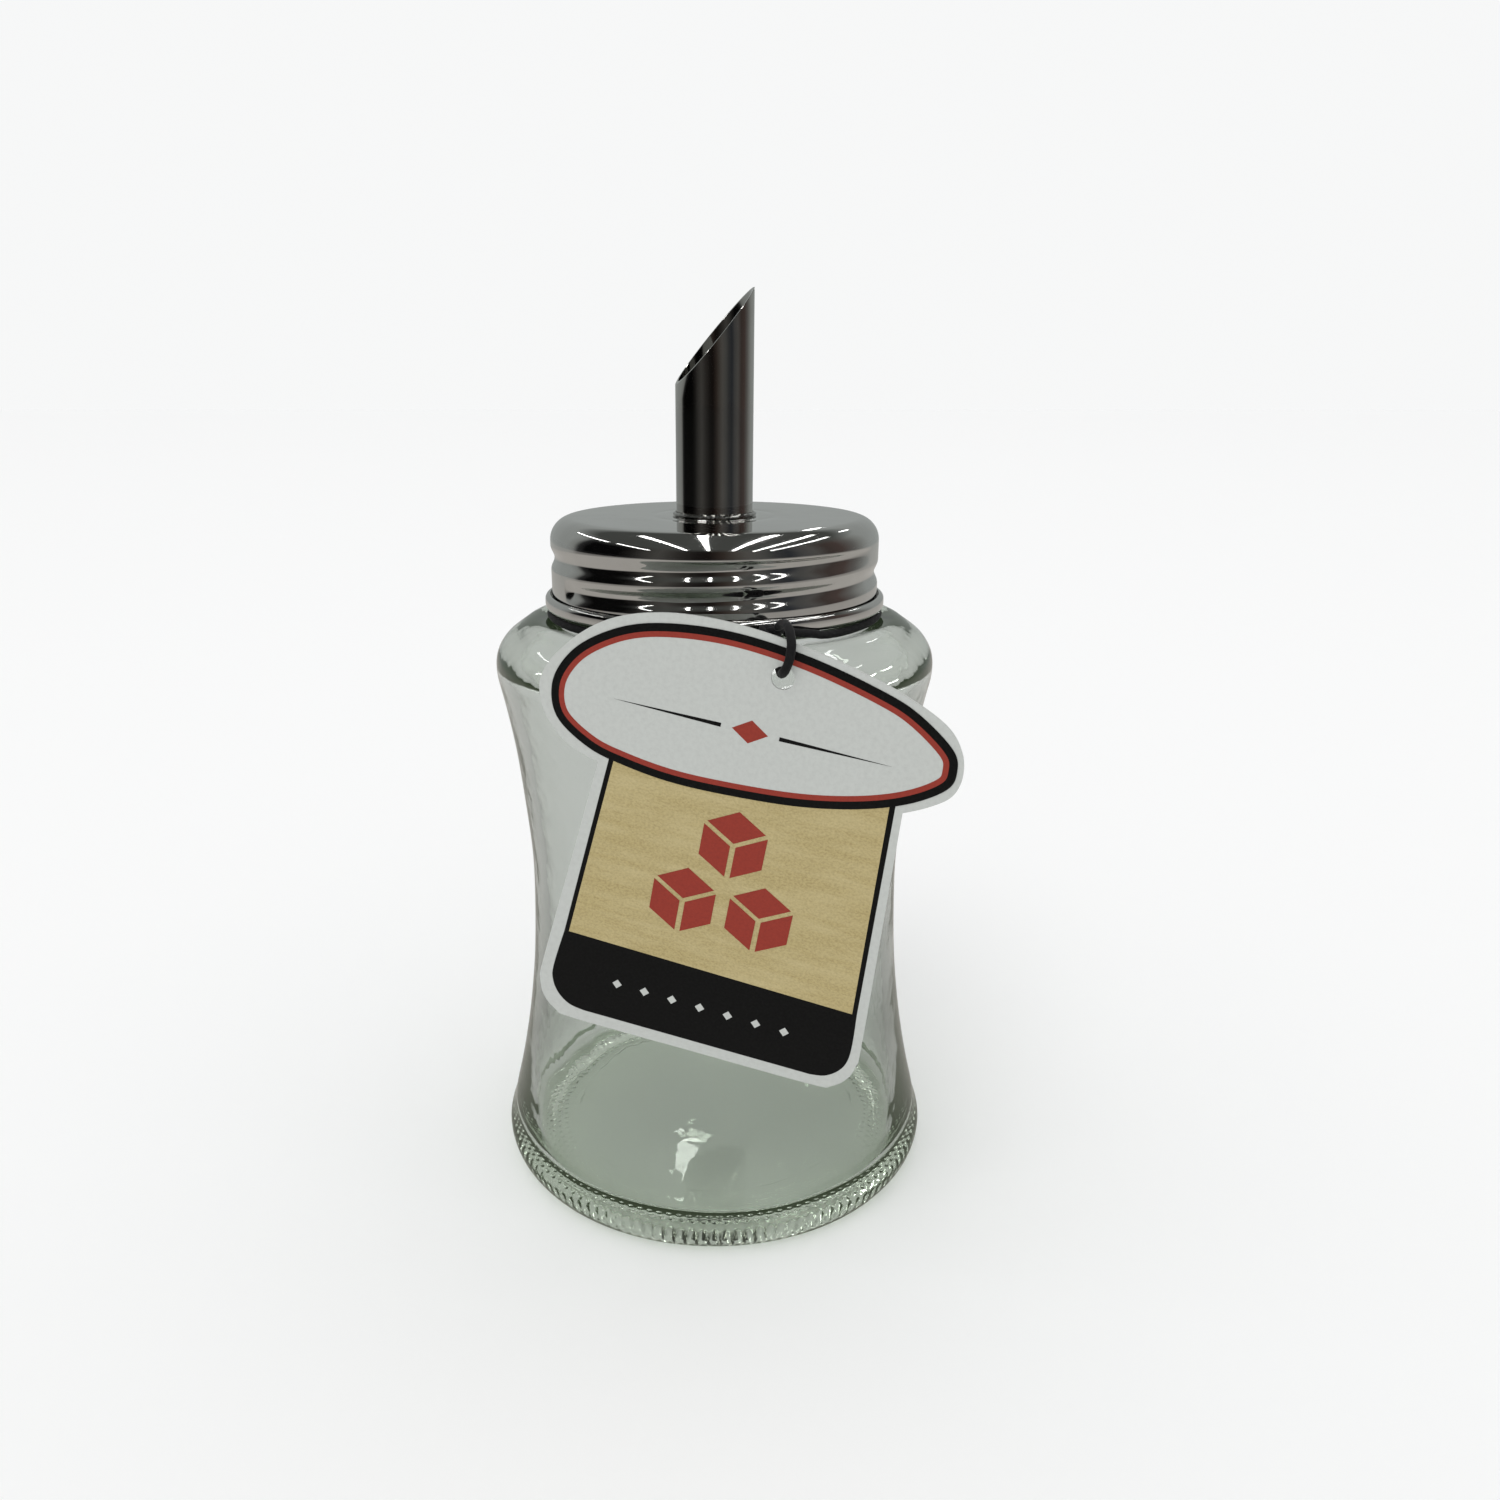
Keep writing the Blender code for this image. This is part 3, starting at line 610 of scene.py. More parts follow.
outer_run[:, 1] = np.maximum(outer_run[:, 1], 0.0)

rim_low = RIM_HEIGHT - RIM_ROUND
rim_run = smooth_path(run((NECK_RADIUS, rim_low), (NECK_BORE, RIM_HEIGHT), RIM_SHARES), 3)
bore = (NECK_BORE, HEM_BOTTOM)
inner_shoulder = (SHOULDER_RADIUS - JAR_WALL, SHOULDER_HEIGHT)
inner_waist = (WAIST_RADIUS - JAR_WALL, WAIST_HEIGHT)
heel = (BASE_RADIUS - HEEL_WALL, FLOOR_THICKNESS + BASE_BULGE_HEIGHT)
inner = run(bore, inner_shoulder, BORE_SHARES)
inner += run(inner_shoulder, inner_waist,
             [(1.0 - a, 1.0 - b) for a, b in UPPER_SHARES[-2::-1]])
inner.append(inner_waist)
inner += run(inner_waist, heel, [(1.0 - a, 1.0 - b) for a, b in LOWER_SHARES[-2:1:-1]])
inner += run((0.0, FLOOR_THICKNESS), heel, FLOOR_SHARES)
inner_run = smooth_path(inner, 5)

# %% Grid of the jar
THREAD_ROW_STEP = 0.00014
WAVE_DEPTH, WAVE_SIZE, WAVE_STRETCH = 0.00016, 0.016, 0.6
WAVE_TOP, WAVE_FADE, WAVE_MIDDLE = 0.094, 0.01, 0.02


def glass_wave(radii, heights, angles):
    """Slow unevenness of the inside, none at the neck and at the middle."""
    depth = np.zeros((len(radii), len(angles)))
    for row in range(len(radii)):
        fade = min(1.0, max(0.0, (WAVE_TOP - heights[row]) / WAVE_FADE),
                   radii[row] / WAVE_MIDDLE)
        if fade <= 0.0:
            continue
        for index, turn in enumerate(angles):
            spot = Vector((radii[row] * math.cos(turn), radii[row] * math.sin(turn),
                           heights[row] * WAVE_STRETCH))
            depth[row, index] = fade * noise.noise(spot / WAVE_SIZE)
    return depth * WAVE_DEPTH


KNOB_RINGS = (0.0286, 0.0299, 0.0312, 0.0324)
KNOBS_PER_RING, KNOB_RADIUS, KNOB_HEIGHT = 116, 0.00045, 0.00007
MOULD_RING_RADIUS, MOULD_RING_WIDTH, MOULD_RING_DEPTH = 0.0262, 0.00018, 0.00010
RING_STRENGTH, RING_BREAKS = 0.55, 6.0
FINE_FROM, FINE_TO, FINE_STEP, FINE_RATIO = 0.0250, 0.0331, 0.00018, 4


def foot_marks(radii, angles):
    """How far the mould marks stand out of the underside, on a grid."""
    sides = [Vector((math.cos(turn), math.sin(turn), 0.0)) for turn in angles]
    broken = np.array([RING_STRENGTH + noise.noise(side * RING_BREAKS) for side in sides])
    height = np.exp(-((radii - MOULD_RING_RADIUS) / MOULD_RING_WIDTH) ** 2)
    height = height * MOULD_RING_DEPTH * np.clip(broken, 0.1, 1.0)
    spacing = 2.0 * math.pi / KNOBS_PER_RING
    for index, ring_radius in enumerate(KNOB_RINGS):
        aside = ((angles / spacing + 0.5 * (index % 2)) % 1.0 - 0.5) * spacing
        near = (radii - ring_radius) ** 2 + (radii * aside) ** 2
        height = height + KNOB_HEIGHT * np.clip(1.0 - near / KNOB_RADIUS ** 2, 0.0, 1.0)
    return height


jar_angles = angles_of(JAR_COLUMNS)
fine_angles = angles_of(JAR_COLUMNS * FINE_RATIO)
split = int(np.argmax(outer_run[:, 0] > FINE_FROM))
resume = int(np.argmax(outer_run[:, 0] > FINE_TO))
fine_radii = np.arange(FINE_FROM, FINE_TO, FINE_STEP)
fine_heights = np.interp(fine_radii, outer_run[:resume + 1, 0], outer_run[:resume + 1, 1])
marked = column(fine_heights) - foot_marks(column(fine_radii), fine_angles)
under_rows = turned_run(outer_run[:split], jar_angles)
fine_rows = turned_points(column(fine_radii), np.maximum(marked, 0.0), fine_angles)
outer_run = outer_run[resume:]
thread_rows = np.arange(GLASS_THREAD_LOW + THREAD_ROW_STEP, rim_low, THREAD_ROW_STEP)
thread_swell = ridge(jar_angles, column(thread_rows), GLASS_THREAD_HEIGHT,
                     rim_low - SEAL_GAP / 2.0)
thread_radii = NECK_RADIUS + GLASS_THREAD_DEPTH * thread_swell
outer_rows = turned_run(outer_run, jar_angles)
thread_points = turned_points(thread_radii, column(thread_rows), jar_angles)
rim_rows = turned_run(rim_run, jar_angles)
wave = glass_wave(inner_run[:, 0], inner_run[:, 1], jar_angles)
inner_rows = turned_points(column(inner_run[:, 0]) - wave, column(inner_run[:, 1]) + wave * 0.5,
                           jar_angles)
upper_rows = np.concatenate([outer_rows, thread_points, rim_rows, inner_rows])
under_tip, floor_tip = [(0.0, 0.0, PUNT_DEPTH)], [(0.0, 0.0, FLOOR_THICKNESS)]
jar_verts = np.vstack([under_rows, under_tip, fine_rows, upper_rows, floor_tip])
fine_start = len(under_rows) + 1
upper_start = fine_start + len(fine_rows)
jar_faces = turned_faces(split, JAR_COLUMNS, first_cap=True)
jar_faces += stitched((split - 1) * JAR_COLUMNS, fine_start, JAR_COLUMNS, FINE_RATIO)
jar_faces += shifted(turned_faces(len(fine_radii), len(fine_angles)), fine_start)
jar_faces += stitched(upper_start, upper_start - len(fine_angles), JAR_COLUMNS, FINE_RATIO)
jar_faces += shifted(turned_faces(len(upper_rows) // JAR_COLUMNS, JAR_COLUMNS, last_cap=True),
                     upper_start)

# %% [markdown]
# ## Clear glass
# Clear soda glass is colourless in a thin wall and turns grey-green where light runs
# along it, at the foot and the edges. So the surface is plain and smooth, and the
# colour comes from absorption inside the volume. Shadow rays pass through, which
# keeps the table under the jar as bright as it is behind real glass. Light that is
# caught between the skins of the wall comes out olive after many mirrorings. A render
# stops following it after a few, so such rays get a painted olive glow instead: the
# glass emits that tone itself, though it is no lamp.

# %% Glass material
SKIN_COLOUR, SHADOW_COLOUR = (0.955, 0.97, 0.96, 1.0), (0.98, 0.985, 0.98, 1.0)
DEPTH_COLOUR, DEPTH_DENSITY = (0.42, 0.56, 0.34, 1.0), 55.0
PAINTED_GLOW_COLOUR = (0.055, 0.070, 0.043, 1.0)
MOST_MIRRORINGS, MOST_STEPS = 2.5, 9.5
RIPPLE_SCALE, RIPPLE_STRENGTH, RIPPLE_DEPTH = 160.0, 0.25, 0.00025
glass, tree, shader = new_material("soda_glass_clear", ior=1.5, transmission=1.0)
shader.inputs["Base Color"].default_value = SKIN_COLOUR
film = use_group(tree, smudge, Scale=42.0, Low=0.0, High=0.035)
tree.links.new(film.outputs["Roughness"], shader.inputs["Roughness"])
ripple = add_node(tree, "TexNoise", {
    "Vector": add_node(tree, "TexCoord").outputs["Object"],
    "Scale": RIPPLE_SCALE,
    "Detail": 2.0, "Roughness": 0.5,
})
bump_into(tree, shader, ripple.outputs["Fac"], RIPPLE_STRENGTH, RIPPLE_DEPTH)
depth_tint = add_node(tree, "VolumeAbsorption", {
    "Color": DEPTH_COLOUR, "Density": DEPTH_DENSITY,
})
surface_end = tree.nodes["Material Output"]
tree.links.new(depth_tint.outputs["Volume"], surface_end.inputs["Volume"])
light_path = add_node(tree, "LightPath")
see_through = add_node(tree, "BsdfTransparent", {"Color": SHADOW_COLOUR})
# Painted glow: the glass emits olive light itself for rays that have mirrored many times.
painted_glow = add_node(tree, "Emission", {
    "Color": PAINTED_GLOW_COLOUR, "Strength": 1.0})
guided = math_node(tree, "GREATER_THAN", light_path.outputs["Glossy Depth"], MOST_MIRRORINGS)
deep = math_node(tree, "GREATER_THAN", light_path.outputs["Ray Depth"], MOST_STEPS)
trapped = math_node(tree, "MAXIMUM", guided, deep)
clear_or_painted_glow = add_node(tree, "MixShader", {
    0: trapped, 1: shader.outputs["BSDF"], 2: painted_glow.outputs["Emission"]})
chooser = add_node(tree, "MixShader", {
    0: light_path.outputs["Is Shadow Ray"], 1: clear_or_painted_glow.outputs["Shader"],
    2: see_through.outputs["BSDF"]})
tree.links.new(chooser.outputs["Shader"], surface_end.inputs["Surface"])

# %% Jar
jar = add_piece("jar_glass", jar_verts, jar_faces, [glass], "jar", sharp=60.0)
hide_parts("glass_jar")

# %% [markdown]
# ## Polished steel
# The lid is pressed from thin sheet and buffed. Its colour is a slightly warm grey,
# and its gloss is uneven from fingers and from the buffing wheel. The tube is drawn,
# so faint lines run along it, and its steel is given a darker colour than the lid's.

# %% Steel materials
EVEN = (1.0, 1.0, 1.0)


def steel(name, dark, light, gloss, patch_scale, line_scale, line_depth, stretch=EVEN):
    """Steel in patches of two tones; gloss is a range of roughness."""
    material, tree, shader = new_material(name, metallic=1.0)
    patches = use_group(tree, smudge, Scale=patch_scale, Low=gloss[0], High=gloss[1])
    tree.links.new(patches.outputs["Roughness"], shader.inputs["Roughness"])
    tree.links.new(blend_colours(tree, patches.outputs["Mask"], light, dark),
                   shader.inputs["Base Color"])
    drawn = use_group(tree, lines, Scale=line_scale, Stretch=stretch)
    bump_into(tree, shader, drawn.outputs["Height"], 0.2, line_depth)
    return material


lid_steel = steel("lid_polished_steel", (0.56, 0.555, 0.54), (0.64, 0.635, 0.62),
                  gloss=(0.03, 0.09), patch_scale=70.0, line_scale=1400.0,
                  line_depth=0.000008)
tube_steel = steel("tube_drawn_steel", (0.43, 0.42, 0.40), (0.52, 0.51, 0.49),
                   gloss=(0.02, 0.07), patch_scale=60.0, line_scale=2600.0,
                   line_depth=0.00001, stretch=(1.0, 1.0, 0.01))
bead_steel = steel("bead_bright_steel", (0.34, 0.335, 0.325), (0.42, 0.415, 0.40),
                   gloss=(0.06, 0.14), patch_scale=300.0, line_scale=3000.0,
                   line_depth=0.00001)
ferrule_steel = steel("ferrule_plain_steel", (0.45, 0.44, 0.43), (0.55, 0.54, 0.53),
                      gloss=(0.22, 0.40), patch_scale=220.0, line_scale=2500.0,
                      line_depth=0.00002)

# %% [markdown]
# ## The screw lid
# One sheet makes the flat top, the rounded corner, the rolled thread and the hem. The
# grid runs over the outside, round the curled hem and back up the inside, so the lid
# has its real sheet thickness and looks right when it is lifted off.

# %% Lid
def arc(middle, radius, first, last, steps):
    turn = np.radians(np.linspace(first, last, steps + 1))
    return np.stack([middle[0] + radius * np.cos(turn), middle[1] + radius * np.sin(turn)], 1)


LID_ROW_STEP = 0.0001
GROOVE_HALF, GROOVE_DEPTH = 0.0020, 0.0006
GROOVE_START, GROOVE_START_FADE = -150.0, 4.0
SKIRT_EDGE = 0.0006
lid_angles = angles_of(LID_COLUMNS)
corner_middle = (LID_RADIUS - LID_CORNER, LID_TOP - LID_CORNER)
thread_top = LID_TOP - LID_CORNER - THREAD_RELIEF / 4.0
skirt_rows = np.arange(corner_middle[1] - LID_ROW_STEP, LID_THREAD_LOW, -LID_ROW_STEP)
groove = ridge(lid_angles, column(skirt_rows), LID_THREAD_HEIGHT, thread_top, GROOVE_HALF,
               GROOVE_START, GROOVE_START_FADE)
edge_room = np.minimum(corner_middle[1] - skirt_rows, skirt_rows - LID_THREAD_LOW + CLEARANCE)
edge_room = np.clip(edge_room / SKIRT_EDGE, 0.0, 1.0)
groove = groove * column(edge_room ** 2 * (3.0 - 2.0 * edge_room))

TOP_DENT, TOP_DENT_DEPTH = 0.0100, 0.00004
top_run = np.array([(radius, LID_TOP - TOP_DENT_DEPTH * (radius == TOP_DENT)) for radius in (
    TUBE_HOLE, 0.0080, 0.0096, TOP_DENT, 0.0104, 0.013, 0.017, 0.021)])
outer_corner = arc(corner_middle, LID_CORNER, 90.0, 0.0, 16)
curl = (HEM_RADIUS - THREAD_WALL) / 2.0
low_middle = (THREAD_WALL + curl, HEM_BOTTOM + curl)
high_middle = (THREAD_WALL + curl, HEM_BOTTOM + HEM_HEIGHT - curl)
hem_run = np.concatenate([
    [(LID_RADIUS, LID_THREAD_LOW - CLEARANCE)],
    arc(low_middle, curl - LID_WALL, -180.0, 0.0, 10),
    arc(high_middle, curl - LID_WALL, 0.0, 90.0, 6),
    arc(high_middle, curl, 90.0, 0.0, 10),
    arc(low_middle, curl, 0.0, -180.0, 16),
])
inner_corner = arc(corner_middle, LID_CORNER - LID_WALL, 0.0, 90.0, 14)
under_run = np.array([(0.018, LID_UNDER), (0.012, LID_UNDER), (TUBE_HOLE, LID_UNDER)])

lid_verts = np.concatenate([
    turned_run(top_run, lid_angles), turned_run(outer_corner, lid_angles),
    turned_points(LID_RADIUS - GROOVE_DEPTH * groove, column(skirt_rows), lid_angles),
    turned_run(hem_run, lid_angles),
    turned_points(THREAD_WALL - GROOVE_DEPTH * groove[::-1], column(skirt_rows[::-1]),
                  lid_angles),
    turned_run(inner_corner, lid_angles), turned_run(under_run, lid_angles),
])
lid_piece = add_piece(
    "lid_shell", lid_verts,
    turned_faces(len(lid_verts) // LID_COLUMNS, LID_COLUMNS, ring=True),
    [lid_steel], "lid", sharp=60.0)
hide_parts("screw_lid")

# %% [markdown]
# ## The pour tube
# A thin steel tube is cut at a slant, which leaves a long oval mouth with a bright cut
# edge. Each column of points is laid evenly from the slant of the foot to the slant of
# the mouth. The edges are broken by a hair, as a file would leave them.

# %% Tube
tube_angles = angles_of(TUBE_COLUMNS)
lean = np.cos(tube_angles - math.radians(MOUTH_TURN))
TUBE_ROWS = 40
EDGE_BREAK = 0.00006


def mouth_heights(radius):
    return LID_TOP + TUBE_RISE + MOUTH_SLOPE * radius * lean


def foot_heights(radius):
    return FOOT_HEIGHT + FOOT_SLOPE * radius * lean


def tube_wall(radius):
    mouth, foot = mouth_heights(radius) - EDGE_BREAK, foot_heights(radius) + EDGE_BREAK
    shares = np.linspace(0.0, 1.0, TUBE_ROWS)[:, None]
    return turned_points(np.full((TUBE_ROWS, 1), radius), foot + (mouth - foot) * shares,
                         tube_angles)


def tube_ring(radius, heights_at):
    return turned_points(np.full((1, 1), radius), heights_at(radius)[None, :], tube_angles)


tube_bore = TUBE_RADIUS - TUBE_WALL
outer_wall = tube_wall(TUBE_RADIUS)
inner_wall = tube_wall(tube_bore).reshape(TUBE_ROWS, -1, 3)
tube_verts = np.concatenate([
    outer_wall,
    tube_ring(TUBE_RADIUS - EDGE_BREAK, mouth_heights),
    tube_ring(tube_bore + EDGE_BREAK, mouth_heights),
    inner_wall[::-1].reshape(-1, 3),
    tube_ring(tube_bore + EDGE_BREAK, foot_heights),
    tube_ring(TUBE_RADIUS - EDGE_BREAK, foot_heights),
])
tube = add_piece(
    "tube_steel_pipe", tube_verts,
    turned_faces(len(tube_verts) // TUBE_COLUMNS, TUBE_COLUMNS, ring=True),
    [tube_steel], "lid", sharp=35.0)
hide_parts("pour_tube")

# %% [markdown]
# ## Small steel and rubber parts from the frame
# The bead, the ferrule and the sealing ring have the right shape as CAD solids. Each
# keeps its mesh and gets a finish of its own.

# %% Rubber and the carried-over nodes
rubber, tree, shader = new_material("gasket_white_rubber", specular=0.35)
specks = use_group(tree, fibres, Scale=2400.0, Amount=0.35)
flecked_skin(tree, shader, specks, (0.80, 0.80, 0.77), (0.62, 0.61, 0.58), gloss=(0.45, 0.7))
bump_into(tree, shader, specks.outputs["Height"], 0.3, 0.00004)
for node, material in (("lid_gasket", rubber), ("tube_ferrule", ferrule_steel),
                       ("tube_bead", bead_steel)):
    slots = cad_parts[node].data.materials
    for index in range(len(slots)):
        slots[index] = material

# %% [markdown]
# ## The hang tag
# The tag is one die-cut card: an oval head over a panel, with a punched hole. Its
# print lies on it as very thin layers of ink, each a flat piece of its own colour, so
# every border stays sharp from any distance. The tag is modelled flat in its own
# plane, x across and y up from the hole, and its object is then turned into place.

# %% Place of the tag
TAG_WIDTH, TAG_HEIGHT, TAG_THICKNESS = 0.0605, 0.0672, 0.00045
TAG_AZIMUTH, TAG_ROLL = -13.4, 10.3
TAG_SIDE, TAG_DROP, TAG_HOLE_RADIUS = 0.01842, 0.0028, 0.00165
facing, roll = math.radians(TAG_AZIMUTH), math.radians(TAG_ROLL)
tag_out = Vector((math.sin(facing), -math.cos(facing), 0.0))
tag_level = Vector((math.cos(facing), math.sin(facing), 0.0))
upright = Vector((0.0, 0.0, 1.0))
tag_across = tag_level * math.cos(roll) - upright * math.sin(roll)
tag_up = upright * math.cos(roll) + tag_level * math.sin(roll)
tag_hole = tag_out * (SHOULDER_RADIUS + CLEARANCE + TAG_THICKNESS)
tag_hole += tag_level * TAG_SIDE + upright * (HEM_BOTTOM - TAG_DROP)
tag_place = Matrix((
    (tag_across.x, tag_up.x, tag_out.x, tag_hole.x),
    (tag_across.y, tag_up.y, tag_out.y, tag_hole.y),
    (tag_across.z, tag_up.z, tag_out.z, tag_hole.z),
    (0.0, 0.0, 0.0, 1.0),
))

HEAD_SHARES = (
    (-0.395, -0.275), (-0.466, -0.256), (-0.529, -0.213), (-0.562, -0.156),
    (-0.562, -0.110), (-0.536, -0.062), (-0.473, 0.003), (-0.393, 0.049),
    (-0.288, 0.077), (-0.174, 0.087), (-0.060, 0.083), (0.051, 0.070), (0.159, 0.051),
    (0.269, 0.024), (0.375, -0.018), (0.423, -0.065), (0.438, -0.116), (0.425, -0.161),
    (0.380, -0.195), (0.329, -0.220),
)
PANEL_SHARES = (
    (0.349, -0.490), (0.370, -0.781), (0.369, -0.824), (0.355, -0.863),
    (0.321, -0.893), (0.269, -0.903), (-0.050, -0.908), (-0.357, -0.912),
    (-0.407, -0.903), (-0.443, -0.875), (-0.460, -0.835), (-0.460, -0.787),
    (-0.427, -0.531),
)


# %% Flat pieces of card and ink
def flat_piece(name, loops, low, high, material):
    """A flat slab between two heights of the tag's own plane, with holes."""
    flat = bmesh.new()
    for loop in loops:
        corners = [flat.verts.new((x, y, high)) for x, y in loop]
        for here, there in zip(corners, corners[1:] + corners[:1]):
            flat.edges.new((here, there))
    bmesh.ops.triangle_fill(flat, use_beauty=True, use_dissolve=False, edges=flat.edges[:])
    grown = bmesh.ops.extrude_face_region(flat, geom=flat.faces[:])
    back = [item for item in grown["geom"] if isinstance(item, bmesh.types.BMVert)]
    bmesh.ops.translate(flat, vec=(0.0, 0.0, low - high), verts=back)
    bmesh.ops.recalc_face_normals(flat, faces=flat.faces[:])
    mesh = bpy.data.meshes.new(name)
    flat.to_mesh(mesh)
    flat.free()
    mesh.shade_flat()
    mesh.materials.append(material)
    piece = in_scene(name, mesh)
    piece.matrix_world = tag_place
    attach(piece, "tag")
    return piece


# %% [markdown]
# ## Card and ink
# The board is white with a faint mottle and a satin skin. Ink takes the gloss down a
# little. The panel is printed to look like kraft paper: a tan ground with fine dark
# flecks and pale streaks that run across it.

# %% Card and ink materials
def card_material(name, ground, fleck, amount, scale, gloss, specular=0.3, stretch=EVEN):
    """Board or ink with flecks of a second tone; gloss is a range of roughness."""
    material, tree, shader = new_material(name, specular=specular)
    marks = use_group(tree, fibres, Scale=scale, Stretch=stretch, Amount=amount)
    flecked_skin(tree, shader, marks, ground, fleck, gloss)
    bump_into(tree, shader, marks.outputs["Height"], 0.15, 0.00002)
    return material, tree, shader


board = card_material("white_board", (0.53, 0.55, 0.525), (0.46, 0.475, 0.455),
                      amount=0.6, scale=1400.0, gloss=(0.38, 0.5))[0]
black_ink = card_material("black_ink", (0.004, 0.004, 0.004), (0.012, 0.012, 0.012),
                          amount=0.5, scale=2600.0, gloss=(0.4, 0.5), specular=0.12)[0]
red_ink = card_material("brick_red_ink", (0.30, 0.038, 0.024), (0.22, 0.028, 0.02),
                        amount=0.6, scale=2600.0, gloss=(0.36, 0.48), specular=0.2)[0]
kraft, tree, shader = card_material(
    "kraft_print", (0.47, 0.385, 0.185), (0.27, 0.205, 0.085), amount=0.7, scale=3600.0,
    gloss=(0.4, 0.52), specular=0.2, stretch=(0.7, 1.0, 1.0))
streaks = use_group(tree, fibres, Scale=420.0, Stretch=(0.16, 1.0, 1.0), Amount=0.4)
ground_link = shader.inputs["Base Color"].links[0].from_socket
tree.links.new(blend_colours(tree, streaks.outputs["Mask"], ground_link, (0.60, 0.52, 0.30)),
               shader.inputs["Base Color"])

# %% Card
HOLE_SIDES = 40
hole_turns = [2.0 * math.pi * k / HOLE_SIDES for k in range(HOLE_SIDES)]
hole = [(TAG_HOLE_RADIUS * math.cos(t), TAG_HOLE_RADIUS * math.sin(t)) for t in hole_turns]
head = smooth_path([(TAG_WIDTH * x, TAG_HEIGHT * y) for x, y in HEAD_SHARES], 6)
panel = smooth_path([(TAG_WIDTH * x, TAG_HEIGHT * y) for x, y in PANEL_SHARES], 5)
card = flat_piece("tag_card", [np.vstack([head, panel]), hole], -TAG_THICKNESS, 0.0, board)
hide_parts("hang_tag")

# %% Printed panel and ring
MM = 0.001
INK = 0.00002
KRAFT_CORNERS = ((-21.5, -16.5), (-24.4, -46.6), (19.9, -47.15), (17.95, -13.5))
RING = (
    (25.6, -7.2), (24.4, -4.3), (19.2, -0.7), (14.0, 1.3), (4.4, 3.5), (-5.0, 4.6),
    (-13.0, 4.4), (-20.5, 3.0), (-26.0, 0.4), (-30.2, -3.3), (-32.3, -8.2),
    (-31.0, -13.2), (-25.9, -16.6), (-20.3, -18.0), (-12.2, -18.8), (-2.0, -18.4),
    (6.9, -17.4), (14.8, -15.5), (20.8, -13.0), (24.9, -9.9),
)
RING_BLACK, RING_RED = 1.15, 1.95
FOOTER_LEFT = (
    (-22.2, -16.0), (-25.1, -46.6), (-26.0, -53.0), (-25.8, -55.5), (-24.6, -57.6),
    (-22.6, -59.0), (-20.2, -59.4),
)
FOOTER_RIGHT = (
    (16.0, -59.0), (18.2, -58.5), (20.0, -57.0), (20.9, -55.0), (21.0, -52.0),
    (20.6, -47.1), (18.7, -12.8),
)


def inset(loop, distance):
    """Move a closed loop inwards by a distance."""
    ahead = np.roll(loop, -1, axis=0) - np.roll(loop, 1, axis=0)
    ahead /= np.linalg.norm(ahead, axis=1)[:, None]
    inwards = np.stack([-ahead[:, 1], ahead[:, 0]], 1)
    return loop + inwards * distance


ring_outer = smooth_path(RING, 8, closed=True) * MM
ring_middle = inset(ring_outer, RING_BLACK * MM)
ring_inner = inset(ring_outer, RING_RED * MM)
panel_black = np.vstack([FOOTER_LEFT[0], smooth_path(FOOTER_LEFT[1:], 4),
                         smooth_path(FOOTER_RIGHT[:-1], 4), FOOTER_RIGHT[-1]])
for name, loops, low, high, material in (
        ("tag_panel_black", [panel_black * MM], 0.0, 1.0, black_ink),
        ("tag_panel_kraft", [np.array(KRAFT_CORNERS) * MM], 1.0, 2.0, kraft),
        ("tag_oval_white", [ring_middle, hole], 2.0, 3.0, board),
        ("tag_ring_black", [ring_outer, ring_middle], 2.0, 4.0, black_ink),
        ("tag_ring_red", [ring_middle, ring_inner], 3.0, 4.0, red_ink)):
    flat_piece(name, loops, low * INK, high * INK, material)

# %% [markdown]
# ## Plain decoration
# The faces of the tag carry only generic decoration: sugar cubes drawn as three
# faces each, a line with a diamond in the oval, and a row of diamonds at the foot.

# %% Plain decoration
CUBE, CUBE_SLANT, CUBE_GAP, GAP_SLOPE = 5.0, (0.866, 0.5), 0.4, 0.3
CUBE_PLACES = ((-8.0, -36.5), (3.6, -36.5), (-2.2, -26.0))
DIAMONDS, DIAMOND_STEP, DIAMOND_HALF, DIAMOND_MIDDLE = 7, 4.4, 0.75, (-2.4, -53.2)
ORNAMENT_X, ORNAMENT_Y, ORNAMENT_HALF = -3.0, -8.6, (2.6, 1.7)
ORNAMENT_REACH, ORNAMENT_GAP, LINE_HALF = 20.0, 4.2, 0.3


def ink_shape(name, corners, material, layer=3.0):
    """One flat shape of ink, in card millimetres."""
    points = [(x * MM, y * MM) for x, y in corners]
    flat_piece(name, [points], layer * INK, (layer + 1.0) * INK, material)


def diamond(x, y, wide, tall):
    return [(x - wide, y), (x, y - tall), (x + wide, y), (x, y + tall)]


lean_x, lean_y = CUBE * CUBE_SLANT[0], CUBE * CUBE_SLANT[1]
for index, (x, y) in enumerate(CUBE_PLACES):
    top, side_top = y + CUBE_GAP, y - CUBE_GAP * GAP_SLOPE
    ink_shape("tag_cube_top_%d" % index,
              [(x, top), (x + lean_x, top + lean_y), (x, top + CUBE),
               (x - lean_x, top + lean_y)], red_ink)
    for name, near_x, far_x in (("left", x - CUBE_GAP, x - CUBE_GAP - lean_x),
                                ("right", x + CUBE_GAP, x + CUBE_GAP + lean_x)):
        ink_shape("tag_cube_%s_%d" % (name, index),
                  [(near_x, side_top), (far_x, side_top + lean_y),
                   (far_x, y + lean_y - CUBE), (near_x, y - CUBE)], red_ink)
for index in range(DIAMONDS):
    along = index - (DIAMONDS - 1) / 2.0
    ink_shape("tag_foot_diamond_%d" % index,
              diamond(DIAMOND_MIDDLE[0] + along * DIAMOND_STEP, DIAMOND_MIDDLE[1],
                      DIAMOND_HALF, DIAMOND_HALF), board, 1.0)
ink_shape("tag_ornament_diamond", diamond(ORNAMENT_X, ORNAMENT_Y, *ORNAMENT_HALF), red_ink)
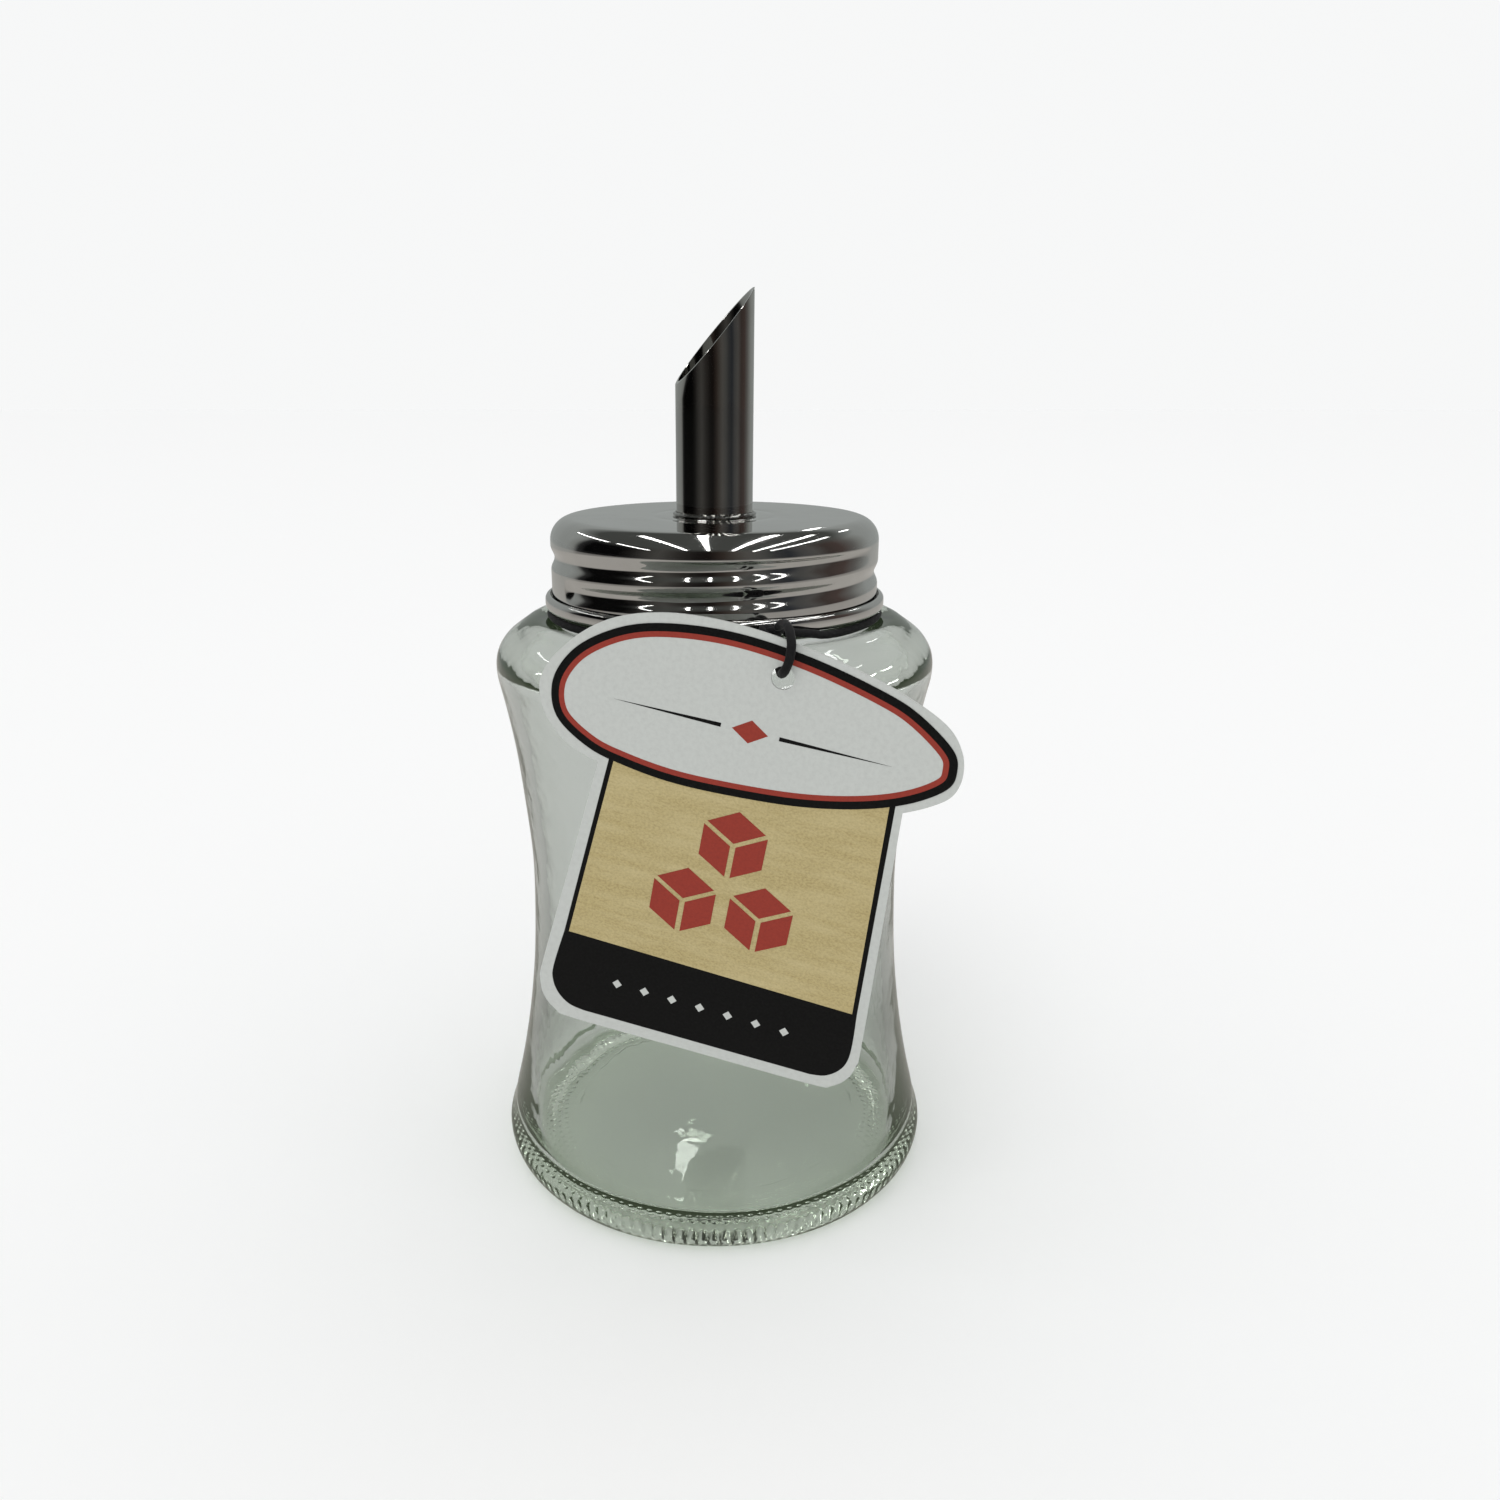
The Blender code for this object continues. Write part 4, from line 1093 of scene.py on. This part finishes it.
for side in (-1.0, 1.0):
    ink_shape("tag_ornament_line_%d" % (side > 0.0),
              [(ORNAMENT_X + side * ORNAMENT_GAP, ORNAMENT_Y - LINE_HALF),
               (ORNAMENT_X + side * ORNAMENT_REACH, ORNAMENT_Y),
               (ORNAMENT_X + side * ORNAMENT_GAP, ORNAMENT_Y + LINE_HALF)], black_ink)

# %% [markdown]
# ## The room as polished steel sees it
# A polished tube is a narrow mirror, so its look is a row of upright bands, one for
# each thing round it. One node group turns a direction into the tone that stands
# there: a pale wall behind, dark shelves and a few lighter bands in front. The world
# and the far floor share it, so that no edge shows at the horizon of the mirror image.

# %% Tones of the room round the object
ROOM_TONES = (
    (-180.0, (0.355, 0.375, 0.365)), (-122.0, (0.345, 0.365, 0.355)),
    (-112.0, (0.270, 0.280, 0.270)), (-106.0, (0.030, 0.030, 0.030)),
    (-98.0, (0.003, 0.003, 0.003)), (-68.0, (0.003, 0.003, 0.003)),
    (-59.0, (0.016, 0.015, 0.014)), (-48.0, (0.052, 0.050, 0.046)),
    (-38.0, (0.075, 0.072, 0.067)), (-25.0, (0.038, 0.035, 0.032)),
    (-12.0, (0.014, 0.012, 0.011)), (-4.0, (0.012, 0.009, 0.008)),
    (6.0, (0.042, 0.032, 0.027)), (15.0, (0.080, 0.072, 0.064)),
    (23.0, (0.110, 0.105, 0.098)), (33.0, (0.090, 0.090, 0.086)),
    (42.0, (0.050, 0.052, 0.054)), (52.0, (0.032, 0.036, 0.042)),
    (61.0, (0.080, 0.080, 0.080)), (72.0, (0.105, 0.101, 0.096)),
    (84.0, (0.065, 0.050, 0.045)), (97.0, (0.085, 0.062, 0.056)),
    (110.0, (0.150, 0.145, 0.138)), (122.0, (0.270, 0.280, 0.268)),
    (132.0, (0.345, 0.365, 0.355)), (180.0, (0.355, 0.375, 0.365)),
)
room_tones, into, out = new_group(
    "room_tones", [("Direction", "NodeSocketVector", (0.0, 0.0, 0.0))],
    [("Color", "NodeSocketColor")],
)
parts = add_node(room_tones, "SeparateXYZ",
                 {"Vector": into.outputs["Direction"]})
forwards = math_node(room_tones, "MULTIPLY", parts.outputs["Y"], -1.0)
around = math_node(room_tones, "ARCTAN2", parts.outputs["X"], forwards)
ramp = add_node(room_tones, "ValToRGB", {
    "Fac": remap(room_tones, around, -math.pi, math.pi)})
stops = ramp.color_ramp.elements
for index, (azimuth, tone) in enumerate(ROOM_TONES):
    share = (azimuth + 180.0) / 360.0
    stop = stops[index] if index < 2 else stops.new(share)
    stop.position = share
    stop.color = (*tone, 1.0)
room_tones.links.new(ramp.outputs["Color"], out.inputs["Color"])

# %% [markdown]
# ## Floor
# The floor is one pale sheet that runs far back. To the camera it is almost white.
# Through glass it shows painted shade instead of its own white: pale behind and under the
# jar and dark beside it. In the steel it shows a painted reflection: pale near the jar and
# turning into the tones of the room farther out.

# %% Floor
BEHIND_GLASS, BESIDE_GLASS = (0.72, 0.70, 0.73), (0.13, 0.14, 0.13)
BEHIND_RANGE = (0.1, 0.8)
PALE_FLOOR, PAINTED_MIRROR_FLOOR = (0.97, 0.975, 0.975), (0.50, 0.48, 0.45)
NEAR_FLOOR, FAR_FLOOR, UNDER_JAR = 0.45, 1.1, (0.045, 0.09)
FLOOR_HALF, FLOOR_DROP = 6.0, 0.0001
floor_mesh = bpy.data.meshes.new("floor")
floor_mesh.from_pydata(
    [(-FLOOR_HALF, -FLOOR_HALF, 0.0), (FLOOR_HALF, -FLOOR_HALF, 0.0),
     (FLOOR_HALF, FLOOR_HALF, 0.0), (-FLOOR_HALF, FLOOR_HALF, 0.0)], [], [(0, 1, 2, 3)])
floor = in_scene("floor", floor_mesh)
floor.location.z = -FLOOR_DROP
pale, tree, shader = new_material("pale_floor", specular=0.1)
shader.inputs["Roughness"].default_value = 0.9
paths = add_node(tree, "LightPath")
spot = add_node(tree, "TexCoord")
distance = add_node(tree, "VectorMath", {0: spot.outputs["Object"]}, operation="LENGTH")
near = remap(tree, distance.outputs["Value"], NEAR_FLOOR, FAR_FLOOR, 1.0, 0.0)
far_room = use_group(tree, room_tones, Direction=spot.outputs["Object"])
# Painted reflection: to glossy rays the floor is a darker tone near the jar and the room's tones
# farther out.
mirrored = blend_colours(tree, near, far_room.outputs["Color"], PAINTED_MIRROR_FLOOR)
straight = blend_colours(tree, paths.outputs["Is Glossy Ray"], PALE_FLOOR, mirrored)
side = add_node(tree, "VectorMath", {0: spot.outputs["Object"]}, operation="NORMALIZE")
side_parts = add_node(tree, "SeparateXYZ", {"Vector": side.outputs["Vector"]})
under_jar = remap(tree, distance.outputs["Value"], *UNDER_JAR, 1.0, 0.0)
behind = math_node(tree, "MAXIMUM", under_jar,
                   remap(tree, side_parts.outputs["Y"], *BEHIND_RANGE))
# Painted shade: to rays through glass the floor is pale behind and under the jar and dark beside
# it.
through = blend_colours(tree, behind, BESIDE_GLASS, BEHIND_GLASS)
tree.links.new(blend_colours(tree, paths.outputs["Is Transmission Ray"], straight, through),
               shader.inputs["Base Color"])
floor_mesh.materials.append(pale)

# %% [markdown]
# ## Surroundings and lamps
# The world lights everything softly. In polished steel it is seen as the room, with a
# grey ceiling above the top of its walls, and through glass it is pale behind the jar
# and dark beside it, which draws the edges of the glass. Long narrow ceiling lamps
# draw the white streaks on the lid, as lamp rows do in a shop.

# %% World
WALL_TOP, CEILING = (0.48, 0.68), (0.075, 0.079, 0.074)
SOFT_LIGHT, BACKDROP = (0.85, 0.85, 0.85), (0.93, 0.935, 0.935)
world = bpy.data.worlds.new("room")
bpy.context.scene.world = world
world.use_nodes = True
tree = world.node_tree
back_light = tree.nodes["Background"]
paths = add_node(tree, "LightPath")
coords = add_node(tree, "TexCoord")
parts = add_node(tree, "SeparateXYZ", {"Vector": coords.outputs["Generated"]})
around_us = use_group(tree, room_tones, Direction=coords.outputs["Generated"])
low_down = remap(tree, parts.outputs["Z"], *WALL_TOP, 1.0, 0.0)
mirrored = blend_colours(tree, low_down, CEILING, around_us.outputs["Color"])
behind = remap(tree, parts.outputs["Y"], *BEHIND_RANGE)
through = blend_colours(tree, behind, BESIDE_GLASS, BEHIND_GLASS)
straight = blend_colours(tree, paths.outputs["Is Camera Ray"], SOFT_LIGHT, BACKDROP)
lit = blend_colours(tree, paths.outputs["Is Glossy Ray"], straight, mirrored)
tree.links.new(blend_colours(tree, paths.outputs["Is Transmission Ray"], lit, through),
               back_light.inputs["Color"])
back_light.inputs["Strength"].default_value = 1.0


# %% Lamps
LAMP_HEIGHT, LAMP_WIDTH, LAMP_POWER_PER_METRE = 2.0, 0.09, 2.4
SUN_STRENGTH, SUN_SPREAD, SUN_TURN = 0.55, 30.0, (32.0, -18.0, 0.0)
LAMP_ROWS = (
    (-2.60, -2.4, -2.35, -0.3), (-2.42, 0.1, -2.25, 2.4), (-0.92, -2.4, -0.74, 0.9),
    (-0.20, -2.5, -0.09, 1.2), (0.63, -2.6, 0.54, 1.2), (1.55, -2.9, 1.12, 1.1),
    (2.25, -2.6, 1.80, 0.9), (-0.14, 2.42, -0.10, 2.66), (0.66, 3.4, 0.80, 6.5),
    (1.55, 2.0, 1.70, 2.7),
)
for index, (front_x, front_y, back_x, back_y) in enumerate(LAMP_ROWS):
    length = math.hypot(back_x - front_x, back_y - front_y)
    strip_data = bpy.data.lights.new("lamp_row_%d" % index, "AREA")
    strip_data.shape = "RECTANGLE"
    strip_data.size, strip_data.size_y = LAMP_WIDTH, length
    strip_data.energy = LAMP_POWER_PER_METRE * length
    strip = in_scene("lamp_row_%d" % index, strip_data)
    strip.location = ((front_x + back_x) / 2.0, (front_y + back_y) / 2.0, LAMP_HEIGHT)
    strip.rotation_euler.z = math.atan2(front_x - back_x, back_y - front_y)
    strip.visible_diffuse = False

sun_data = bpy.data.lights.new("soft_key", "SUN")
sun_data.energy = SUN_STRENGTH
sun_data.angle = math.radians(SUN_SPREAD)
sun = in_scene("soft_key", sun_data)
sun.rotation_euler = [math.radians(turn) for turn in SUN_TURN]
sun.visible_glossy = False
sun.visible_transmission = False
